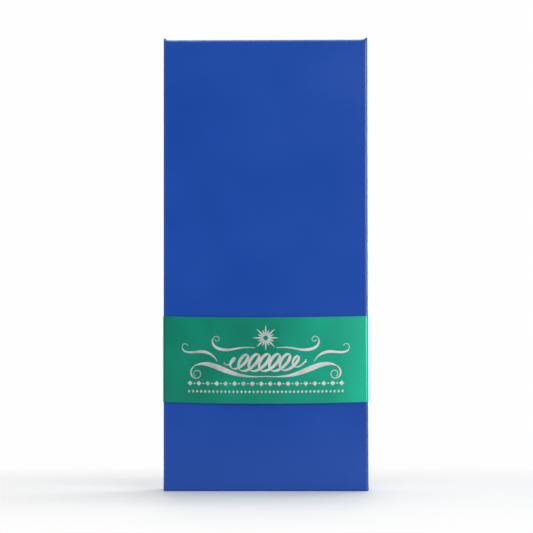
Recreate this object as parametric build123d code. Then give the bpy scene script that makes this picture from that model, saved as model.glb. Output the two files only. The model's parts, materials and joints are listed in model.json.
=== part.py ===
from build123d import *
import os

os.makedirs("parts", exist_ok=True)

# Calligraphy set box: a paper-wrapped board sleeve, open at its head and foot, with a paper belly
# band round it. A tray slides out of the head and carries a feather pen and a bottle of ink in a
# foam insert. All sizes are millimetres.
# Frame: the box stands on its foot, +Z up, its front face looks towards -Y, and the origin is the
# middle of the foot.

# Sleeve
box_width = 126.8
box_depth = 38.0
sleeve_height = 279.8
sleeve_board = 2.0
wrap_paper = 0.3
edge_round = 1.4
mouth_round = 1.2
sleeve_hem = 16.0
corner_tip_width = 2.4
corner_tip_height = 1.2
corner_tip_point = 0.5

# Belly band
band_paper = 0.2
band_clearance = 0.15
band_height = 53.0
band_foot = 54.6
lap_width = 14.0
lap_glue = 0.1

# Tray
tray_clearance = 0.4
tray_end_clearance = 0.4
tray_board = 1.5
tray_paper = 0.2
tray_round = 0.8
tray_hem = 12.0
stay_width = 9.0
stay_clearance = 0.1

# Foam insert and its flocked cover
insert_clearance = 0.4
cover_drop = 5.5
cover_sheet = 0.5
bottle_slack = 0.4
bottle_notch_radius = 8.0
pen_notch_radius = 13.0
notch_depth = 14.0
channel_slack = 0.2
channel_foot_margin = 7.0
pocket_margin = 4.0
pocket_floor_gap = 0.3
pocket_round = 14.0

# Feather pen, nib down
pen_side_margin = 18.0
pen_sink = 5.9
nib_foot_margin = 20.0
nib_radius = 3.0
nib_metal = 0.35
nib_length = 34.0
nib_shank = 12.0
nib_taper = 15.0
nib_point = 0.9
nib_slit = 0.2
nib_slit_length = 9.5
nib_vent_radius = 0.6
nib_clearance = 0.1
ferrule_radius = 3.9
ferrule_length = 15.0
ferrule_chamfer = 0.5
tenon_radius = 2.4
tenon_length = 8.0
grip_length = 44.0
grip_foot_radius = 4.4
grip_belly_radius = 5.4
grip_waist_radius = 3.7
grip_head_radius = 4.6
grip_belly_height = 13.0
grip_waist_height = 34.0
collar_radius = 5.6
collar_height = 6.0
collar_round = 2.0
quill_radius = 1.8
quill_tip_radius = 0.4
quill_seat = 12.0
quill_bare = 12.0
feather_head_margin = 12.0
vane_left = 17.0
vane_right = 27.0
vane_thickness = 0.8
vane_overhang = 5.0
vane_foot_pull = 18.0
vane_tip_pull = 26.0

# Ink bottle and its screw cap
bottle_side_margin = 9.0
bottle_foot_margin = 26.0
bottle_front_gap = 3.1
bottle_height = 31.0
bottle_round = 3.5
bottle_foot_round = 1.0
shoulder_round = 3.0
glass_wall = 2.0
glass_floor = 3.0
neck_radius = 7.2
neck_bore_radius = 5.2
neck_height = 9.6
ink_depth = 19.0
label_width = 17.0
label_height = 15.0
label_lift = 6.5
label_paper = 0.15
cap_radius = 10.0
cap_top = 1.8
cap_foot_gap = 0.6
cap_bore_clearance = 0.4
cap_round = 1.0
seal_thickness = 1.0
seal_side_clearance = 0.3
seal_gap = 0.05
cap_travel = 7.5
cap_head_room = 2.0

# Places that follow from the sizes above
bore_width = box_width - 2 * (wrap_paper + sleeve_board)
bore_depth = box_depth - 2 * (wrap_paper + sleeve_board)
mouth_width = bore_width - 2 * wrap_paper
mouth_depth = bore_depth - 2 * wrap_paper

tray_width = mouth_width - 2 * tray_clearance
tray_depth = mouth_depth - 2 * tray_clearance
tray_rim = -tray_depth / 2
tray_foot = tray_end_clearance
tray_head = sleeve_height - tray_end_clearance
tray_wall = tray_paper + tray_board
hollow_x = tray_width / 2 - tray_wall
hollow_foot = tray_foot + tray_wall
hollow_head = tray_head - tray_wall
floor_front = tray_depth / 2 - tray_wall
liner_front = floor_front - tray_paper

insert_x = hollow_x - insert_clearance
insert_foot = hollow_foot + insert_clearance
insert_head = hollow_head - insert_clearance
cover_face = tray_rim + cover_drop
foam_face = cover_face + cover_sheet

pen_x = -insert_x + pen_side_margin + vane_left
pen_y = cover_face + pen_sink
nib_tip = insert_foot + nib_foot_margin
ferrule_foot = nib_tip + nib_length - nib_shank
grip_foot = ferrule_foot + ferrule_length
grip_head = grip_foot + grip_length
collar_head = grip_head + collar_height
vane_foot = collar_head + quill_bare
vane_tip = insert_head - feather_head_margin
quill_tip = vane_tip - vane_overhang
pen_radius = max(grip_belly_radius, collar_radius)

bottle_side = liner_front - tray_rim - bottle_front_gap
bottle_x = insert_x - bottle_side_margin - bottle_side / 2
bottle_y = liner_front - bottle_side / 2
bottle_foot = insert_foot + bottle_foot_margin
shoulder = bottle_foot + bottle_height
neck_rim = shoulder + neck_height
cap_foot = shoulder + cap_foot_gap
seal_foot = neck_rim + seal_gap
cap_bore_head = seal_foot + seal_thickness
cap_head = cap_bore_head + cap_top
recess_head = cap_head + cap_travel + cap_head_room


def block(x, y, z):
    """A box between the two ends given for each axis."""
    middle = Pos((x[0] + x[1]) / 2, (y[0] + y[1]) / 2, (z[0] + z[1]) / 2)
    return middle * Box(x[1] - x[0], y[1] - y[0], z[1] - z[0])


def upright_disc(radius, x, y, z):
    """A cylinder with its axis along Y, centred on x and z."""
    length = y[1] - y[0]
    return Pos(x, (y[0] + y[1]) / 2, z) * Rot(90, 0, 0) * Cylinder(radius, length)


def turned(points, x, y):
    """A solid turned about the vertical axis at x, y from (radius, height) points."""
    profile = make_face(Plane.XZ * Polyline(points, close=True))
    return Pos(x, y, 0) * revolve(profile, Axis.Z)


def keep(shape, node):
    """Writes one sub-part."""
    shape.label = node
    export_step(shape, "parts/" + node + ".step")


# Sleeve

def sleeve_block(inset):
    """The sleeve's outer form without its hollow, shrunk evenly on every side."""
    outline = RectangleRounded(box_width - 2 * inset, box_depth - 2 * inset, edge_round - inset)
    column = Pos(0, 0, inset) * extrude(outline, sleeve_height - 2 * inset)
    levels = column.edges().group_by(Axis.Z)
    return fillet(levels[0] + levels[-1], mouth_round - inset)


def sleeve_bore(width, depth, foot, head):
    """A rectangular plug for the sleeve's hollow."""
    return block((-width / 2, width / 2), (-depth / 2, depth / 2), (foot, head))


def sleeve_boards():
    """Full-width front and back boards, with the side boards between them."""
    bore = sleeve_bore(bore_width, bore_depth, 0, sleeve_height)
    boards = sleeve_block(wrap_paper) - bore
    reach = box_width
    heights = (0, sleeve_height)
    front = boards & block((-reach, reach), (-box_depth, -bore_depth / 2), heights)
    back = boards & block((-reach, reach), (bore_depth / 2, box_depth), heights)
    left = boards & block((-reach, -bore_width / 2), (-bore_depth / 2, bore_depth / 2), heights)
    right = boards & block((bore_width / 2, reach), (-bore_depth / 2, bore_depth / 2), heights)
    keep(front, "sleeve_front_board")
    keep(back, "sleeve_back_board")
    keep(left, "sleeve_left_board")
    keep(right, "sleeve_right_board")


def corner_tip(side_x, side_y):
    """The pinch of folded paper that stands up at one corner of the sleeve's head."""
    corner = Pos(side_x * box_width / 2, side_y * box_depth / 2, 0)
    head = sleeve_height + corner_tip_height
    base = Rectangle(2 * corner_tip_width, 2 * corner_tip_width)
    point = Rectangle(2 * corner_tip_point, 2 * corner_tip_point)
    low = Pos(0, 0, sleeve_height - mouth_round) * base
    high = Pos(0, 0, head) * point
    fold = corner * loft([low.face(), high.face()])
    column = extrude(RectangleRounded(box_width, box_depth, edge_round), head)
    return (fold & column) - sleeve_block(wrap_paper)


def sleeve_wrap():
    """The cover paper: round the outside, over both ends and hemmed down the inside."""
    mouth = sleeve_bore(mouth_width, mouth_depth, 0, sleeve_height)
    wrap = sleeve_block(0) - sleeve_block(wrap_paper) - mouth
    for foot in (wrap_paper, sleeve_height - sleeve_hem):
        head = foot + sleeve_hem - wrap_paper
        wrap = wrap + (sleeve_bore(bore_width, bore_depth, foot, head) - mouth)
    for side_x in (-1, 1):
        for side_y in (-1, 1):
            wrap = wrap + corner_tip(side_x, side_y)
    keep(wrap, "sleeve_wrap")


def sleeve_liner():
    """The lining paper between the two hems."""
    foot = sleeve_hem
    head = sleeve_height - sleeve_hem
    mouth = sleeve_bore(mouth_width, mouth_depth, foot, head)
    keep(sleeve_bore(bore_width, bore_depth, foot, head) - mouth, "sleeve_liner")


# Belly band

def band_outline(offset):
    """The sleeve's plan outline, grown evenly."""
    return RectangleRounded(box_width + 2 * offset, box_depth + 2 * offset, edge_round + offset)


def belly_band():
    """A strip round the sleeve that laps over its own end at the back."""
    outside = band_clearance + band_paper
    ring = extrude(band_outline(outside) - band_outline(band_clearance), band_height)
    ring_back = box_depth / 2 + outside
    glue_back = ring_back + lap_glue
    lap_back = glue_back + band_paper
    half = lap_width / 2
    heights = (0, band_height)
    lap = block((-half, half), (glue_back, lap_back), heights)
    step = block((-half - band_paper, -half), (ring_back, lap_back), heights)
    glue = block((-half, half), (ring_back, glue_back), heights)
    keep(Pos(0, 0, band_foot) * (ring + lap + step), "belly_band")
    keep(Pos(0, 0, band_foot) * glue, "band_glue")


# Tray

def tray_block(inset):
    """The tray's outer form without its hollow, shrunk evenly on every side."""
    length = tray_head - tray_foot
    outline = RectangleRounded(tray_width - 2 * inset, length - 2 * inset, tray_round - inset)
    middle = Pos(0, 0, (tray_foot + tray_head) / 2)
    return extrude(middle * (Plane.XZ * outline), tray_depth / 2 - inset, both=True)


def tray_hollow(inset, front, back):
    """A plug for the tray's hollow, narrower by inset on its four walls."""
    heights = (hollow_foot + inset, hollow_head - inset)
    return block((-hollow_x + inset, hollow_x - inset), (front, back), heights)


def tray_boards():
    """A floor board, two long walls that stand on it, and a head and a foot wall between them."""
    boards = tray_block(tray_paper) - tray_hollow(0, tray_rim, floor_front)
    reach = tray_width
    front = tray_rim
    tall = (0, sleeve_height)
    floor = boards & block((-reach, reach), (floor_front, reach), tall)
    left = boards & block((-reach, -hollow_x), (front, floor_front), tall)
    right = boards & block((hollow_x, reach), (front, floor_front), tall)
    foot = boards & block((-hollow_x, hollow_x), (front, floor_front), (0, hollow_foot))
    head = boards & block((-hollow_x, hollow_x), (front, floor_front), (hollow_head, sleeve_height))
    keep(floor, "tray_floor_board")
    keep(left, "tray_left_wall")
    keep(right, "tray_right_wall")
    keep(foot, "tray_foot_wall")
    keep(head, "tray_head_wall")


def tray_wrap():
    """The tray's cover paper: under the floor, up the walls, over the rim and hemmed inside."""
    opening = tray_hollow(tray_paper, tray_rim, tray_rim + tray_hem)
    hem = tray_hollow(0, tray_rim + tray_paper, tray_rim + tray_hem) - opening
    keep(tray_block(0) - tray_block(tray_paper) - opening + hem, "tray_wrap")


def tray_liner():
    """The lining sheet on the tray's floor."""
    keep(tray_hollow(0, liner_front, floor_front), "tray_liner")


def corner_stays():
    """Four strips of gummed paper, folded into the inside corners of the walls."""
    depths = (tray_rim + tray_hem + stay_clearance, liner_front)
    outer = tray_hollow(0, depths[0], depths[1]) - tray_hollow(tray_paper, depths[0], depths[1])
    heights = ((hollow_foot, hollow_foot + stay_width), (hollow_head - stay_width, hollow_head))
    stays = []
    for side in (-1, 1):
        for height in heights:
            ends = sorted((side * hollow_x, side * (hollow_x - stay_width)))
            stays.append(outer & block(ends, depths, height))
    keep(Compound(children=[stay.solid() for stay in stays]), "corner_stays")


# Insert

def bottle_recess():
    """The cut for the bottle, right through the foam, with room above for its cap to unscrew."""
    half = bottle_side / 2 + bottle_slack
    cut = block((bottle_x - half, bottle_x + half), (tray_rim, liner_front), (bottle_foot, recess_head))
    middle = (bottle_foot + shoulder) / 2
    for side in (-1, 1):
        edge = bottle_x + side * bottle_side / 2
        cut = cut + upright_disc(bottle_notch_radius, edge, (tray_rim, foam_face + notch_depth), middle)
    return cut


def pen_recess():
    """The channel that holds the pen's barrel, and the shallow pocket of its feather."""
    half = pen_radius + channel_slack
    floor = pen_y + half
    foot = insert_foot + channel_foot_margin
    cut = block((pen_x - half, pen_x + half), (tray_rim, floor), (foot, vane_foot))
    cut = cut + upright_disc(pen_notch_radius, pen_x, (tray_rim, floor), (grip_foot + grip_head) / 2)
    pocket_width = vane_left + vane_right + 2 * pocket_margin
    pocket_foot = vane_foot - pocket_margin
    pocket_head = vane_tip + pocket_margin
    middle_x = pen_x + (vane_right - vane_left) / 2
    outline = RectangleRounded(pocket_width, pocket_head - pocket_foot, pocket_round)
    outline = Pos(middle_x, 0, (pocket_foot + pocket_head) / 2) * (Plane.XZ * outline)
    pocket_floor = pen_y + quill_radius + pocket_floor_gap
    depth = block((-box_width, box_width), (tray_rim, pocket_floor), (0, sleeve_height))
    return cut + (extrude(outline, box_depth, both=True) & depth)


def insert():
    """The foam block and the flocked sheet on its face, cut by the same recesses."""
    recesses = bottle_recess() + pen_recess()
    heights = (insert_foot, insert_head)
    foam = block((-insert_x, insert_x), (foam_face, liner_front), heights)
    cover = block((-insert_x, insert_x), (cover_face, foam_face), heights)
    keep(foam - recesses, "insert_foam")
    keep(cover - recesses, "insert_cover")


# Feather pen

def nib():
    """A bent sheet-metal nib: a half-round shank that tapers to a slit point."""
    tube = Cylinder(nib_radius, nib_length) - Cylinder(nib_radius - nib_metal, nib_length)
    sheet = Pos(pen_x, pen_y, nib_tip + nib_length / 2) * tube
    sides = (pen_x - nib_radius, pen_x + nib_radius)
    shoulders = nib_tip + nib_taper
    head = nib_tip + nib_length
    outline = make_face(Plane.XZ * Polyline(
        (pen_x - nib_point / 2, nib_tip), (pen_x + nib_point / 2, nib_tip), (sides[1], shoulders),
        (sides[1], head), (sides[0], head), (sides[0], shoulders), close=True))
    sheet = sheet & block(sides, (pen_y - nib_radius, pen_y), (nib_tip, head))
    sheet = sheet & extrude(outline, box_depth, both=True)
    slit_head = nib_tip + nib_slit_length
    slit = block((pen_x - nib_slit / 2, pen_x + nib_slit / 2), (tray_rim, pen_y), (nib_tip, slit_head))
    vent = upright_disc(nib_vent_radius, pen_x, (tray_rim, pen_y), slit_head)
    keep(sheet - slit - vent, "nib")


def nib_ferrule():
    """The turned ferrule: a ring slot from below holds the nib, a tenon goes up into the grip."""
    rim = ferrule_radius - ferrule_chamfer
    tenon_head = grip_foot + tenon_length
    body = turned([(0, ferrule_foot), (rim, ferrule_foot), (ferrule_radius, ferrule_foot + ferrule_chamfer),
                   (ferrule_radius, grip_foot), (tenon_radius, grip_foot), (tenon_radius, tenon_head),
                   (0, tenon_head)], pen_x, pen_y)
    inside = nib_radius - nib_metal - nib_clearance
    outside = nib_radius + nib_clearance
    slot_head = ferrule_foot + nib_shank + nib_clearance
    slot = turned([(inside, ferrule_foot), (outside, ferrule_foot), (outside, slot_head),
                   (inside, slot_head)], pen_x, pen_y)
    keep(body - slot, "nib_ferrule")


def pen_grip():
    """The turned grip, swelling to a belly below and drawn in to a waist above."""
    heights = [grip_foot, grip_foot + grip_belly_height, grip_foot + grip_waist_height, grip_head]
    radii = [grip_foot_radius, grip_belly_radius, grip_waist_radius, grip_head_radius]
    side = Spline(*zip(radii, heights))
    rest = Polyline((grip_head_radius, grip_head), (0, grip_head), (0, grip_foot),
                    (grip_foot_radius, grip_foot))
    body = Pos(pen_x, pen_y, 0) * revolve(make_face(Plane.XZ * (side + rest)), Axis.Z)
    socket = Pos(pen_x, pen_y, grip_foot + tenon_length / 2) * Cylinder(tenon_radius, tenon_length)
    seat = Pos(pen_x, pen_y, grip_head - quill_seat / 2) * Cylinder(quill_radius, quill_seat)
    keep(body - socket - seat, "pen_grip")


def pen_collar():
    """The round bead where the feather enters the grip."""
    ring = Cylinder(collar_radius, collar_height) - Cylinder(quill_radius, collar_height)
    rims = ring.edges().filter_by(GeomType.CIRCLE).group_by(SortBy.RADIUS)[-1]
    keep(Pos(pen_x, pen_y, grip_head + collar_height / 2) * fillet(rims, collar_round), "pen_collar")


def quill():
    """The feather's shaft: even where it is bare, then tapering to its tip."""
    foot = grip_head - quill_seat
    return turned([(0, foot), (quill_radius, foot), (quill_radius, vane_foot),
                   (quill_tip_radius, quill_tip), (0, quill_tip)], pen_x, pen_y)


def feather_vane(shaft):
    """The feather's blade, narrow on the left of the shaft and wide on the right."""
    foot = (pen_x, vane_foot)
    tip = (pen_x, vane_tip)
    low = vane_foot + vane_foot_pull
    high = vane_tip - vane_tip_pull
    bulge = 4 / 3  # a cubic curve reaches three quarters of the way to its handles
    left_x = pen_x - bulge * vane_left
    right_x = pen_x + bulge * vane_right
    left = Bezier(foot, (left_x, low), (left_x, high), tip)
    right = Bezier(tip, (right_x, high), (right_x, low), foot)
    blade = extrude(make_face(Plane.XZ * (left + right)), vane_thickness / 2, both=True)
    return Pos(0, pen_y, 0) * blade - shaft


def feather():
    shaft = quill()
    keep(shaft, "feather_shaft")
    keep(feather_vane(shaft), "feather_vane")


# Ink bottle

def bottle_hollow():
    """The space inside the glass, up to the foot of the neck's bore."""
    inner = bottle_side - 2 * glass_wall
    inner_round = bottle_round - glass_wall
    outline = RectangleRounded(inner, inner, inner_round)
    space = extrude(outline, bottle_height - glass_floor - glass_wall)
    space = fillet(space.edges().group_by(Axis.Z)[-1], inner_round)
    return Pos(bottle_x, bottle_y, bottle_foot + glass_floor) * space


def ink_bottle():
    body = extrude(RectangleRounded(bottle_side, bottle_side, bottle_round), bottle_height)
    body = fillet(body.edges().group_by(Axis.Z)[-1], shoulder_round)
    body = fillet(body.edges().group_by(Axis.Z)[0], bottle_foot_round)
    body = Pos(bottle_x, bottle_y, bottle_foot) * body
    neck = Pos(bottle_x, bottle_y, shoulder + neck_height / 2) * Cylinder(neck_radius, neck_height)
    bore_foot = shoulder - 2 * glass_wall
    bore = Cylinder(neck_bore_radius, neck_rim - bore_foot)
    bore = Pos(bottle_x, bottle_y, (bore_foot + neck_rim) / 2) * bore
    keep(body + neck - bore - bottle_hollow(), "ink_bottle")


def ink():
    level = bottle_foot + glass_floor + ink_depth
    below = block((-box_width, box_width), (-box_depth, box_depth), (0, level))
    keep(bottle_hollow() & below, "ink")


def bottle_label():
    """A plain paper label on the bottle's front."""
    face = bottle_y - bottle_side / 2
    foot = bottle_foot + label_lift
    keep(block((bottle_x - label_width / 2, bottle_x + label_width / 2), (face - label_paper, face),
               (foot, foot + label_height)), "bottle_label")


def bottle_cap():
    """The screw cap: a round-edged shell, open below."""
    height = cap_head - cap_foot
    shell = Pos(0, 0, height / 2) * Cylinder(cap_radius, height)
    shell = fillet(shell.edges().group_by(Axis.Z)[-1], cap_round)
    bore_height = cap_bore_head - cap_foot
    shell = shell - Pos(0, 0, bore_height / 2) * Cylinder(neck_radius + cap_bore_clearance, bore_height)
    keep(Pos(bottle_x, bottle_y, cap_foot) * shell, "bottle_cap")


def cap_seal():
    """The soft disc inside the cap that closes the neck."""
    radius = neck_radius + cap_bore_clearance - seal_side_clearance
    disc = Cylinder(radius, seal_thickness)
    keep(Pos(bottle_x, bottle_y, seal_foot + seal_thickness / 2) * disc, "cap_seal")


sleeve_boards()
sleeve_wrap()
sleeve_liner()
belly_band()
tray_boards()
tray_wrap()
tray_liner()
corner_stays()
insert()
nib()
nib_ferrule()
pen_grip()
pen_collar()
feather()
ink_bottle()
ink()
bottle_label()
bottle_cap()
cap_seal()
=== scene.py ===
# %% [markdown]
# # A calligraphy set box
# A stiff paper-covered sleeve stands on its foot with a paper belly band round it. A tray slides
# out of its head and carries a feather pen and a bottle of ink in a flocked foam insert. The
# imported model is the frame: it says where every piece is, and this notebook only dresses it.

# %% Load the frame
import json
import math

import bmesh
import bpy
from mathutils import Matrix, Vector, noise


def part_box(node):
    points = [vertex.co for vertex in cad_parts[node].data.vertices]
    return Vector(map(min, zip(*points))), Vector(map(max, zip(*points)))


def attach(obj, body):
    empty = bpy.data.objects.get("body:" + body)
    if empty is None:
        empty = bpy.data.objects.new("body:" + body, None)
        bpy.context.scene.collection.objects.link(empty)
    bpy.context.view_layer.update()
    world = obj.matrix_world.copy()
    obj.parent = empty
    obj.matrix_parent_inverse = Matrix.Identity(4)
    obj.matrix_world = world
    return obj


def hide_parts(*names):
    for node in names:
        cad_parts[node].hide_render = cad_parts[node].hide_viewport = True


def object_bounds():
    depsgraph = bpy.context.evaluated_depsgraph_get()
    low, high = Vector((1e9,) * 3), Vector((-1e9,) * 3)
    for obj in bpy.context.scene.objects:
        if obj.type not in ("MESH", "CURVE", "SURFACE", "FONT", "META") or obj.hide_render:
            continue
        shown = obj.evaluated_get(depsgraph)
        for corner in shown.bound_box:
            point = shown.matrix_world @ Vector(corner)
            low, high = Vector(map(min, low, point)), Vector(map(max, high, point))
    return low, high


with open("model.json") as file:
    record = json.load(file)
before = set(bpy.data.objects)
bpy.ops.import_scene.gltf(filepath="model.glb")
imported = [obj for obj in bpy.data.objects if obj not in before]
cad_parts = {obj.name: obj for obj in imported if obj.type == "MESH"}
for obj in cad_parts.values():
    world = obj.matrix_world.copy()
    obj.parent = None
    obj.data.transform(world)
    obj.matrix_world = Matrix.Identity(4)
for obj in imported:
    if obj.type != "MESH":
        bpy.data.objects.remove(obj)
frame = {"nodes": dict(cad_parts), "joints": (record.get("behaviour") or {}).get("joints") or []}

cad_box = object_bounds()
MM = 0.001

# %% [markdown]
# The main sizes come from the frame's own boxes, so the looks follow the construction. A box is
# two corners, and most helpers need only one face of one, such as the front of a board.

# %% Read the main sizes
board_low, board_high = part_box("sleeve_front_board")
back_board_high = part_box("sleeve_back_board")[1]
wrap_paper = board_low.z
half_width = board_high.x + wrap_paper
half_depth = back_board_high.y + wrap_paper
sleeve_head = board_high.z + wrap_paper
tip_head = cad_box[1].z
wall = board_high.y - board_low.y + 2 * wrap_paper
band_low, band_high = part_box("belly_band")
tray_low, tray_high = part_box("tray_wrap")
print(f"sleeve {2 * half_width:.4f} x {2 * half_depth:.4f} x {sleeve_head:.4f}, wall {wall:.4f}")

# %% [markdown]
# ## Camera
# The box is seen from the front with a long lens, from a little above the floor, so its uprights
# stay nearly parallel. A long lens far away was chosen over a short one close by, because the box
# is flat and a short lens would splay its foot. The aim point sets the framing with no shift.

# %% Stand the camera
LENS_DISTANCE = 1.8
PIXEL_SIZE = 0.0006195
FRAME_PIXELS = 533
SENSOR_WIDTH = 36
CAMERA_PITCH = math.radians(2.2)
CAMERA_YAW = math.radians(1.5)
CAMERA_ROLL = math.radians(-0.07)
AIM = Vector((0.0005, -half_depth, 0.1389))


def add_object(name, data):
    """A new object that holds this camera, lamp or mesh, linked to the scene."""
    thing = bpy.data.objects.new(name, data)
    bpy.context.collection.objects.link(thing)
    return thing


def stand_camera():
    data = bpy.data.cameras.new("box_camera")
    data.sensor_width = SENSOR_WIDTH
    data.lens = SENSOR_WIDTH * LENS_DISTANCE / PIXEL_SIZE / FRAME_PIXELS
    sight = Vector((
        -math.sin(CAMERA_YAW) * math.cos(CAMERA_PITCH),
        math.cos(CAMERA_YAW) * math.cos(CAMERA_PITCH),
        math.sin(CAMERA_PITCH),
    ))
    turn = sight.to_track_quat("-Z", "Y").to_matrix() @ Matrix.Rotation(CAMERA_ROLL, 3, "Z")
    camera = add_object("box_camera", data)
    camera.location = AIM - sight * LENS_DISTANCE
    camera.rotation_euler = turn.to_euler()
    bpy.context.scene.camera = camera
    return camera


camera = stand_camera()
print("camera height", round(camera.location.z, 4), "lens", round(camera.data.lens, 1))

# %% [markdown]
# ## Light
# A satin paper shows its lamps twice: as plain light on its colour, and as a soft sheen on each
# rounded edge. A large key softbox stands high in front, a little to the right. A small lamp
# beside the camera is what the pearl paper picks up, so the band grows brighter to its right.
# Three tall strips further round draw the pale line on the right edge, and a softbox overhead, a
# little behind, gives the rim its line and the floor a short shadow in front of the box. Lamps
# could be points, but then the edges would hold no line.

# %% Hang the softboxes
SOFTBOXES = {
    "key_softbox": dict(azimuth=10, elevation=50, distance=1.5, size=(0.8, 0.8), watts=9.4),
    "pearl_lamp": dict(azimuth=19, elevation=8, distance=1.6, size=(0.3, 0.5), watts=7.8),
    "side_strip": dict(azimuth=48, elevation=10, distance=1.4, size=(0.25, 1.0), watts=2.4),
    "edge_strip": dict(azimuth=88, elevation=8, distance=1.3, size=(0.2, 1.0), watts=3.8),
    "rim_strip": dict(azimuth=138, elevation=8, distance=1.3, size=(0.18, 1.0), watts=18.0),
    "rear_overhead": dict(azimuth=165, elevation=68, distance=1.3, size=(0.5, 0.8), watts=7.0),
}
FLAGGED_LAMPS = ("pearl_lamp", "side_strip", "edge_strip", "rim_strip")


def hang_softbox(name, azimuth, elevation, distance, size, watts):
    """A rectangular lamp that faces the middle of the box; azimuth 0 is the camera's side."""
    data = bpy.data.lights.new(name, "AREA")
    data.shape = "RECTANGLE"
    data.size, data.size_y = size
    data.energy = watts
    lamp = add_object(name, data)
    a, e = math.radians(azimuth), math.radians(elevation)
    away = Vector((math.sin(a) * math.cos(e), -math.cos(a) * math.cos(e), math.sin(e)))
    lamp.location = Vector((0, 0, sleeve_head / 2)) + away * distance
    lamp.rotation_euler = (-away).to_track_quat("-Z", "Y").to_euler()
    return lamp


softboxes = {name: hang_softbox(name, **settings) for name, settings in SOFTBOXES.items()}
print("softboxes:", ", ".join(softboxes))

# %% [markdown]
# ## Node helpers
# A finish is a small graph of nodes. These helpers keep each later cell to the nodes that matter.
# The first ones work in any kind of tree: an input is fed with a value, or with the output of
# another node, and the helper finds out which. The others start a material or a node group and
# add the few nodes that most finishes share.

# %% Helpers for any node
def feed(tree, socket, value):
    """Links an input where the value is another node's output, or writes the value into it."""
    if isinstance(value, bpy.types.NodeSocket):
        tree.links.new(value, socket)
    else:
        socket.default_value = value


def feed_all(tree, inputs, **values):
    """Feeds inputs by their labels, with a low line in place of each space."""
    for label, value in values.items():
        feed(tree, inputs[label.replace("_", " ")], value)


def add_node(tree, kind, fields=None, **inputs):
    """A new node; fields are its own settings, and the rest feeds its inputs."""
    node = tree.nodes.new(kind)
    for label, value in (fields or {}).items():
        setattr(node, label, value)
    feed_all(tree, node.inputs, **inputs)
    return node


def add_math(tree, operation, first, second=0.0):
    node = add_node(tree, "ShaderNodeMath", {"operation": operation})
    for socket, value in zip(node.inputs, (first, second)):
        feed(tree, socket, value)
    return node.outputs[0]


def add_range(tree, value, low, high, to_low=0.0, to_high=1.0):
    """Maps low to high onto the other two numbers, and holds the result between them."""
    node = add_node(tree, "ShaderNodeMapRange", Value=value, From_Min=low, From_Max=high,
                    To_Min=to_low, To_Max=to_high)
    return node.outputs["Result"]


def split_xyz(tree, vector):
    return add_node(tree, "ShaderNodeSeparateXYZ", Vector=vector).outputs


print("helpers for any node ready")

# %% Helpers for materials and groups
# A Mix node has sockets for every kind of data, and these are the places of those for colours.
MIX_FACTOR = 0
MIX_FIRST = 6
MIX_SECOND = 7
MIX_RESULT = 2


def rgb(red, green, blue):
    return (red, green, blue, 1.0)


def start_material(name, **plain):
    """A material whose Principled BSDF has the given plain socket values."""
    material = bpy.data.materials.new(name)
    material.use_nodes = True
    tree = material.node_tree
    shader = tree.nodes["Principled BSDF"]
    feed_all(tree, shader.inputs, **plain)
    return material, tree, shader


def start_group(name, inputs, outputs, kind="ShaderNodeTree"):
    """A node group; inputs are (label, kind, value) and outputs are (label, kind)."""
    group = bpy.data.node_groups.new(name, kind)
    for label, data, value in inputs:
        socket = group.interface.new_socket(label, in_out="INPUT", socket_type="NodeSocket" + data)
        if value is not None:
            socket.default_value = value
    for label, data in outputs:
        group.interface.new_socket(label, in_out="OUTPUT", socket_type="NodeSocket" + data)
    return group, group.nodes.new("NodeGroupInput").outputs, group.nodes.new("NodeGroupOutput").inputs


def place_group(tree, group, **values):
    """The outputs of a group that is placed in this tree with its own values."""
    return add_node(tree, "ShaderNodeGroup", {"node_tree": group}, **values).outputs


def object_place(tree):
    """Where a point lies in the object's own coordinates."""
    return tree.nodes.new("ShaderNodeTexCoord").outputs["Object"]


def add_noise(tree, scale, detail=2.0, roughness=0.5):
    node = add_node(tree, "ShaderNodeTexNoise", Vector=object_place(tree), Scale=scale,
                    Detail=detail, Roughness=roughness)
    return node.outputs["Fac"]


def add_mix(tree, factor, first, second):
    """Mixes two colours; each is a socket or a plain colour."""
    node = add_node(tree, "ShaderNodeMix", {"data_type": "RGBA"})
    for place, value in ((MIX_FACTOR, factor), (MIX_FIRST, first), (MIX_SECOND, second)):
        feed(tree, node.inputs[place], value)
    return node.outputs[MIX_RESULT]


def add_bump(tree, height, strength, depth):
    """A normal that follows the height; depth is how far the full height reaches, in metres."""
    node = add_node(tree, "ShaderNodeBump", Height=height, Strength=strength, Distance=depth)
    return node.outputs["Normal"]


print("helpers for materials and groups ready")

# %% [markdown]
# The world has two jobs. To the eye, and to glass and metal that look past the box, it is the
# pale backdrop. To everything else it is the dim fill of a studio, a little brighter overhead.
# One Light Path node keeps the two apart, so the backdrop puts no extra light on the box.

# %% Fill the world
BACKDROP = 0.99
FILL_LOW = 0.06
FILL_HIGH = 0.45
FILL_FROM = -0.2
BEHIND_FROM = -0.1
BEHIND_TO = 0.3


def fill_world():
    """Directions that point up are brighter, and gloss sees the backdrop only behind the box."""
    world = bpy.data.worlds.new("studio")
    bpy.context.scene.world = world
    world.use_nodes = True
    tree = world.node_tree
    direction = split_xyz(tree, tree.nodes.new("ShaderNodeTexCoord").outputs["Generated"])
    fill = add_range(tree, direction["Z"], FILL_FROM, 1.0, FILL_LOW, FILL_HIGH)
    behind = add_range(tree, direction["Y"], BEHIND_FROM, BEHIND_TO)
    path = tree.nodes.new("ShaderNodeLightPath").outputs
    glossy = add_math(tree, "MULTIPLY", path["Is Glossy Ray"], behind)
    eye = add_math(tree, "MAXIMUM", path["Is Camera Ray"], path["Is Transmission Ray"])
    seen = add_math(tree, "MAXIMUM", eye, glossy)
    strength = add_node(tree, "ShaderNodeMix", Factor=seen, A=fill, B=BACKDROP).outputs["Result"]
    feed_all(tree, tree.nodes["Background"].inputs, Color=rgb(1, 1, 1), Strength=strength)


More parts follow.
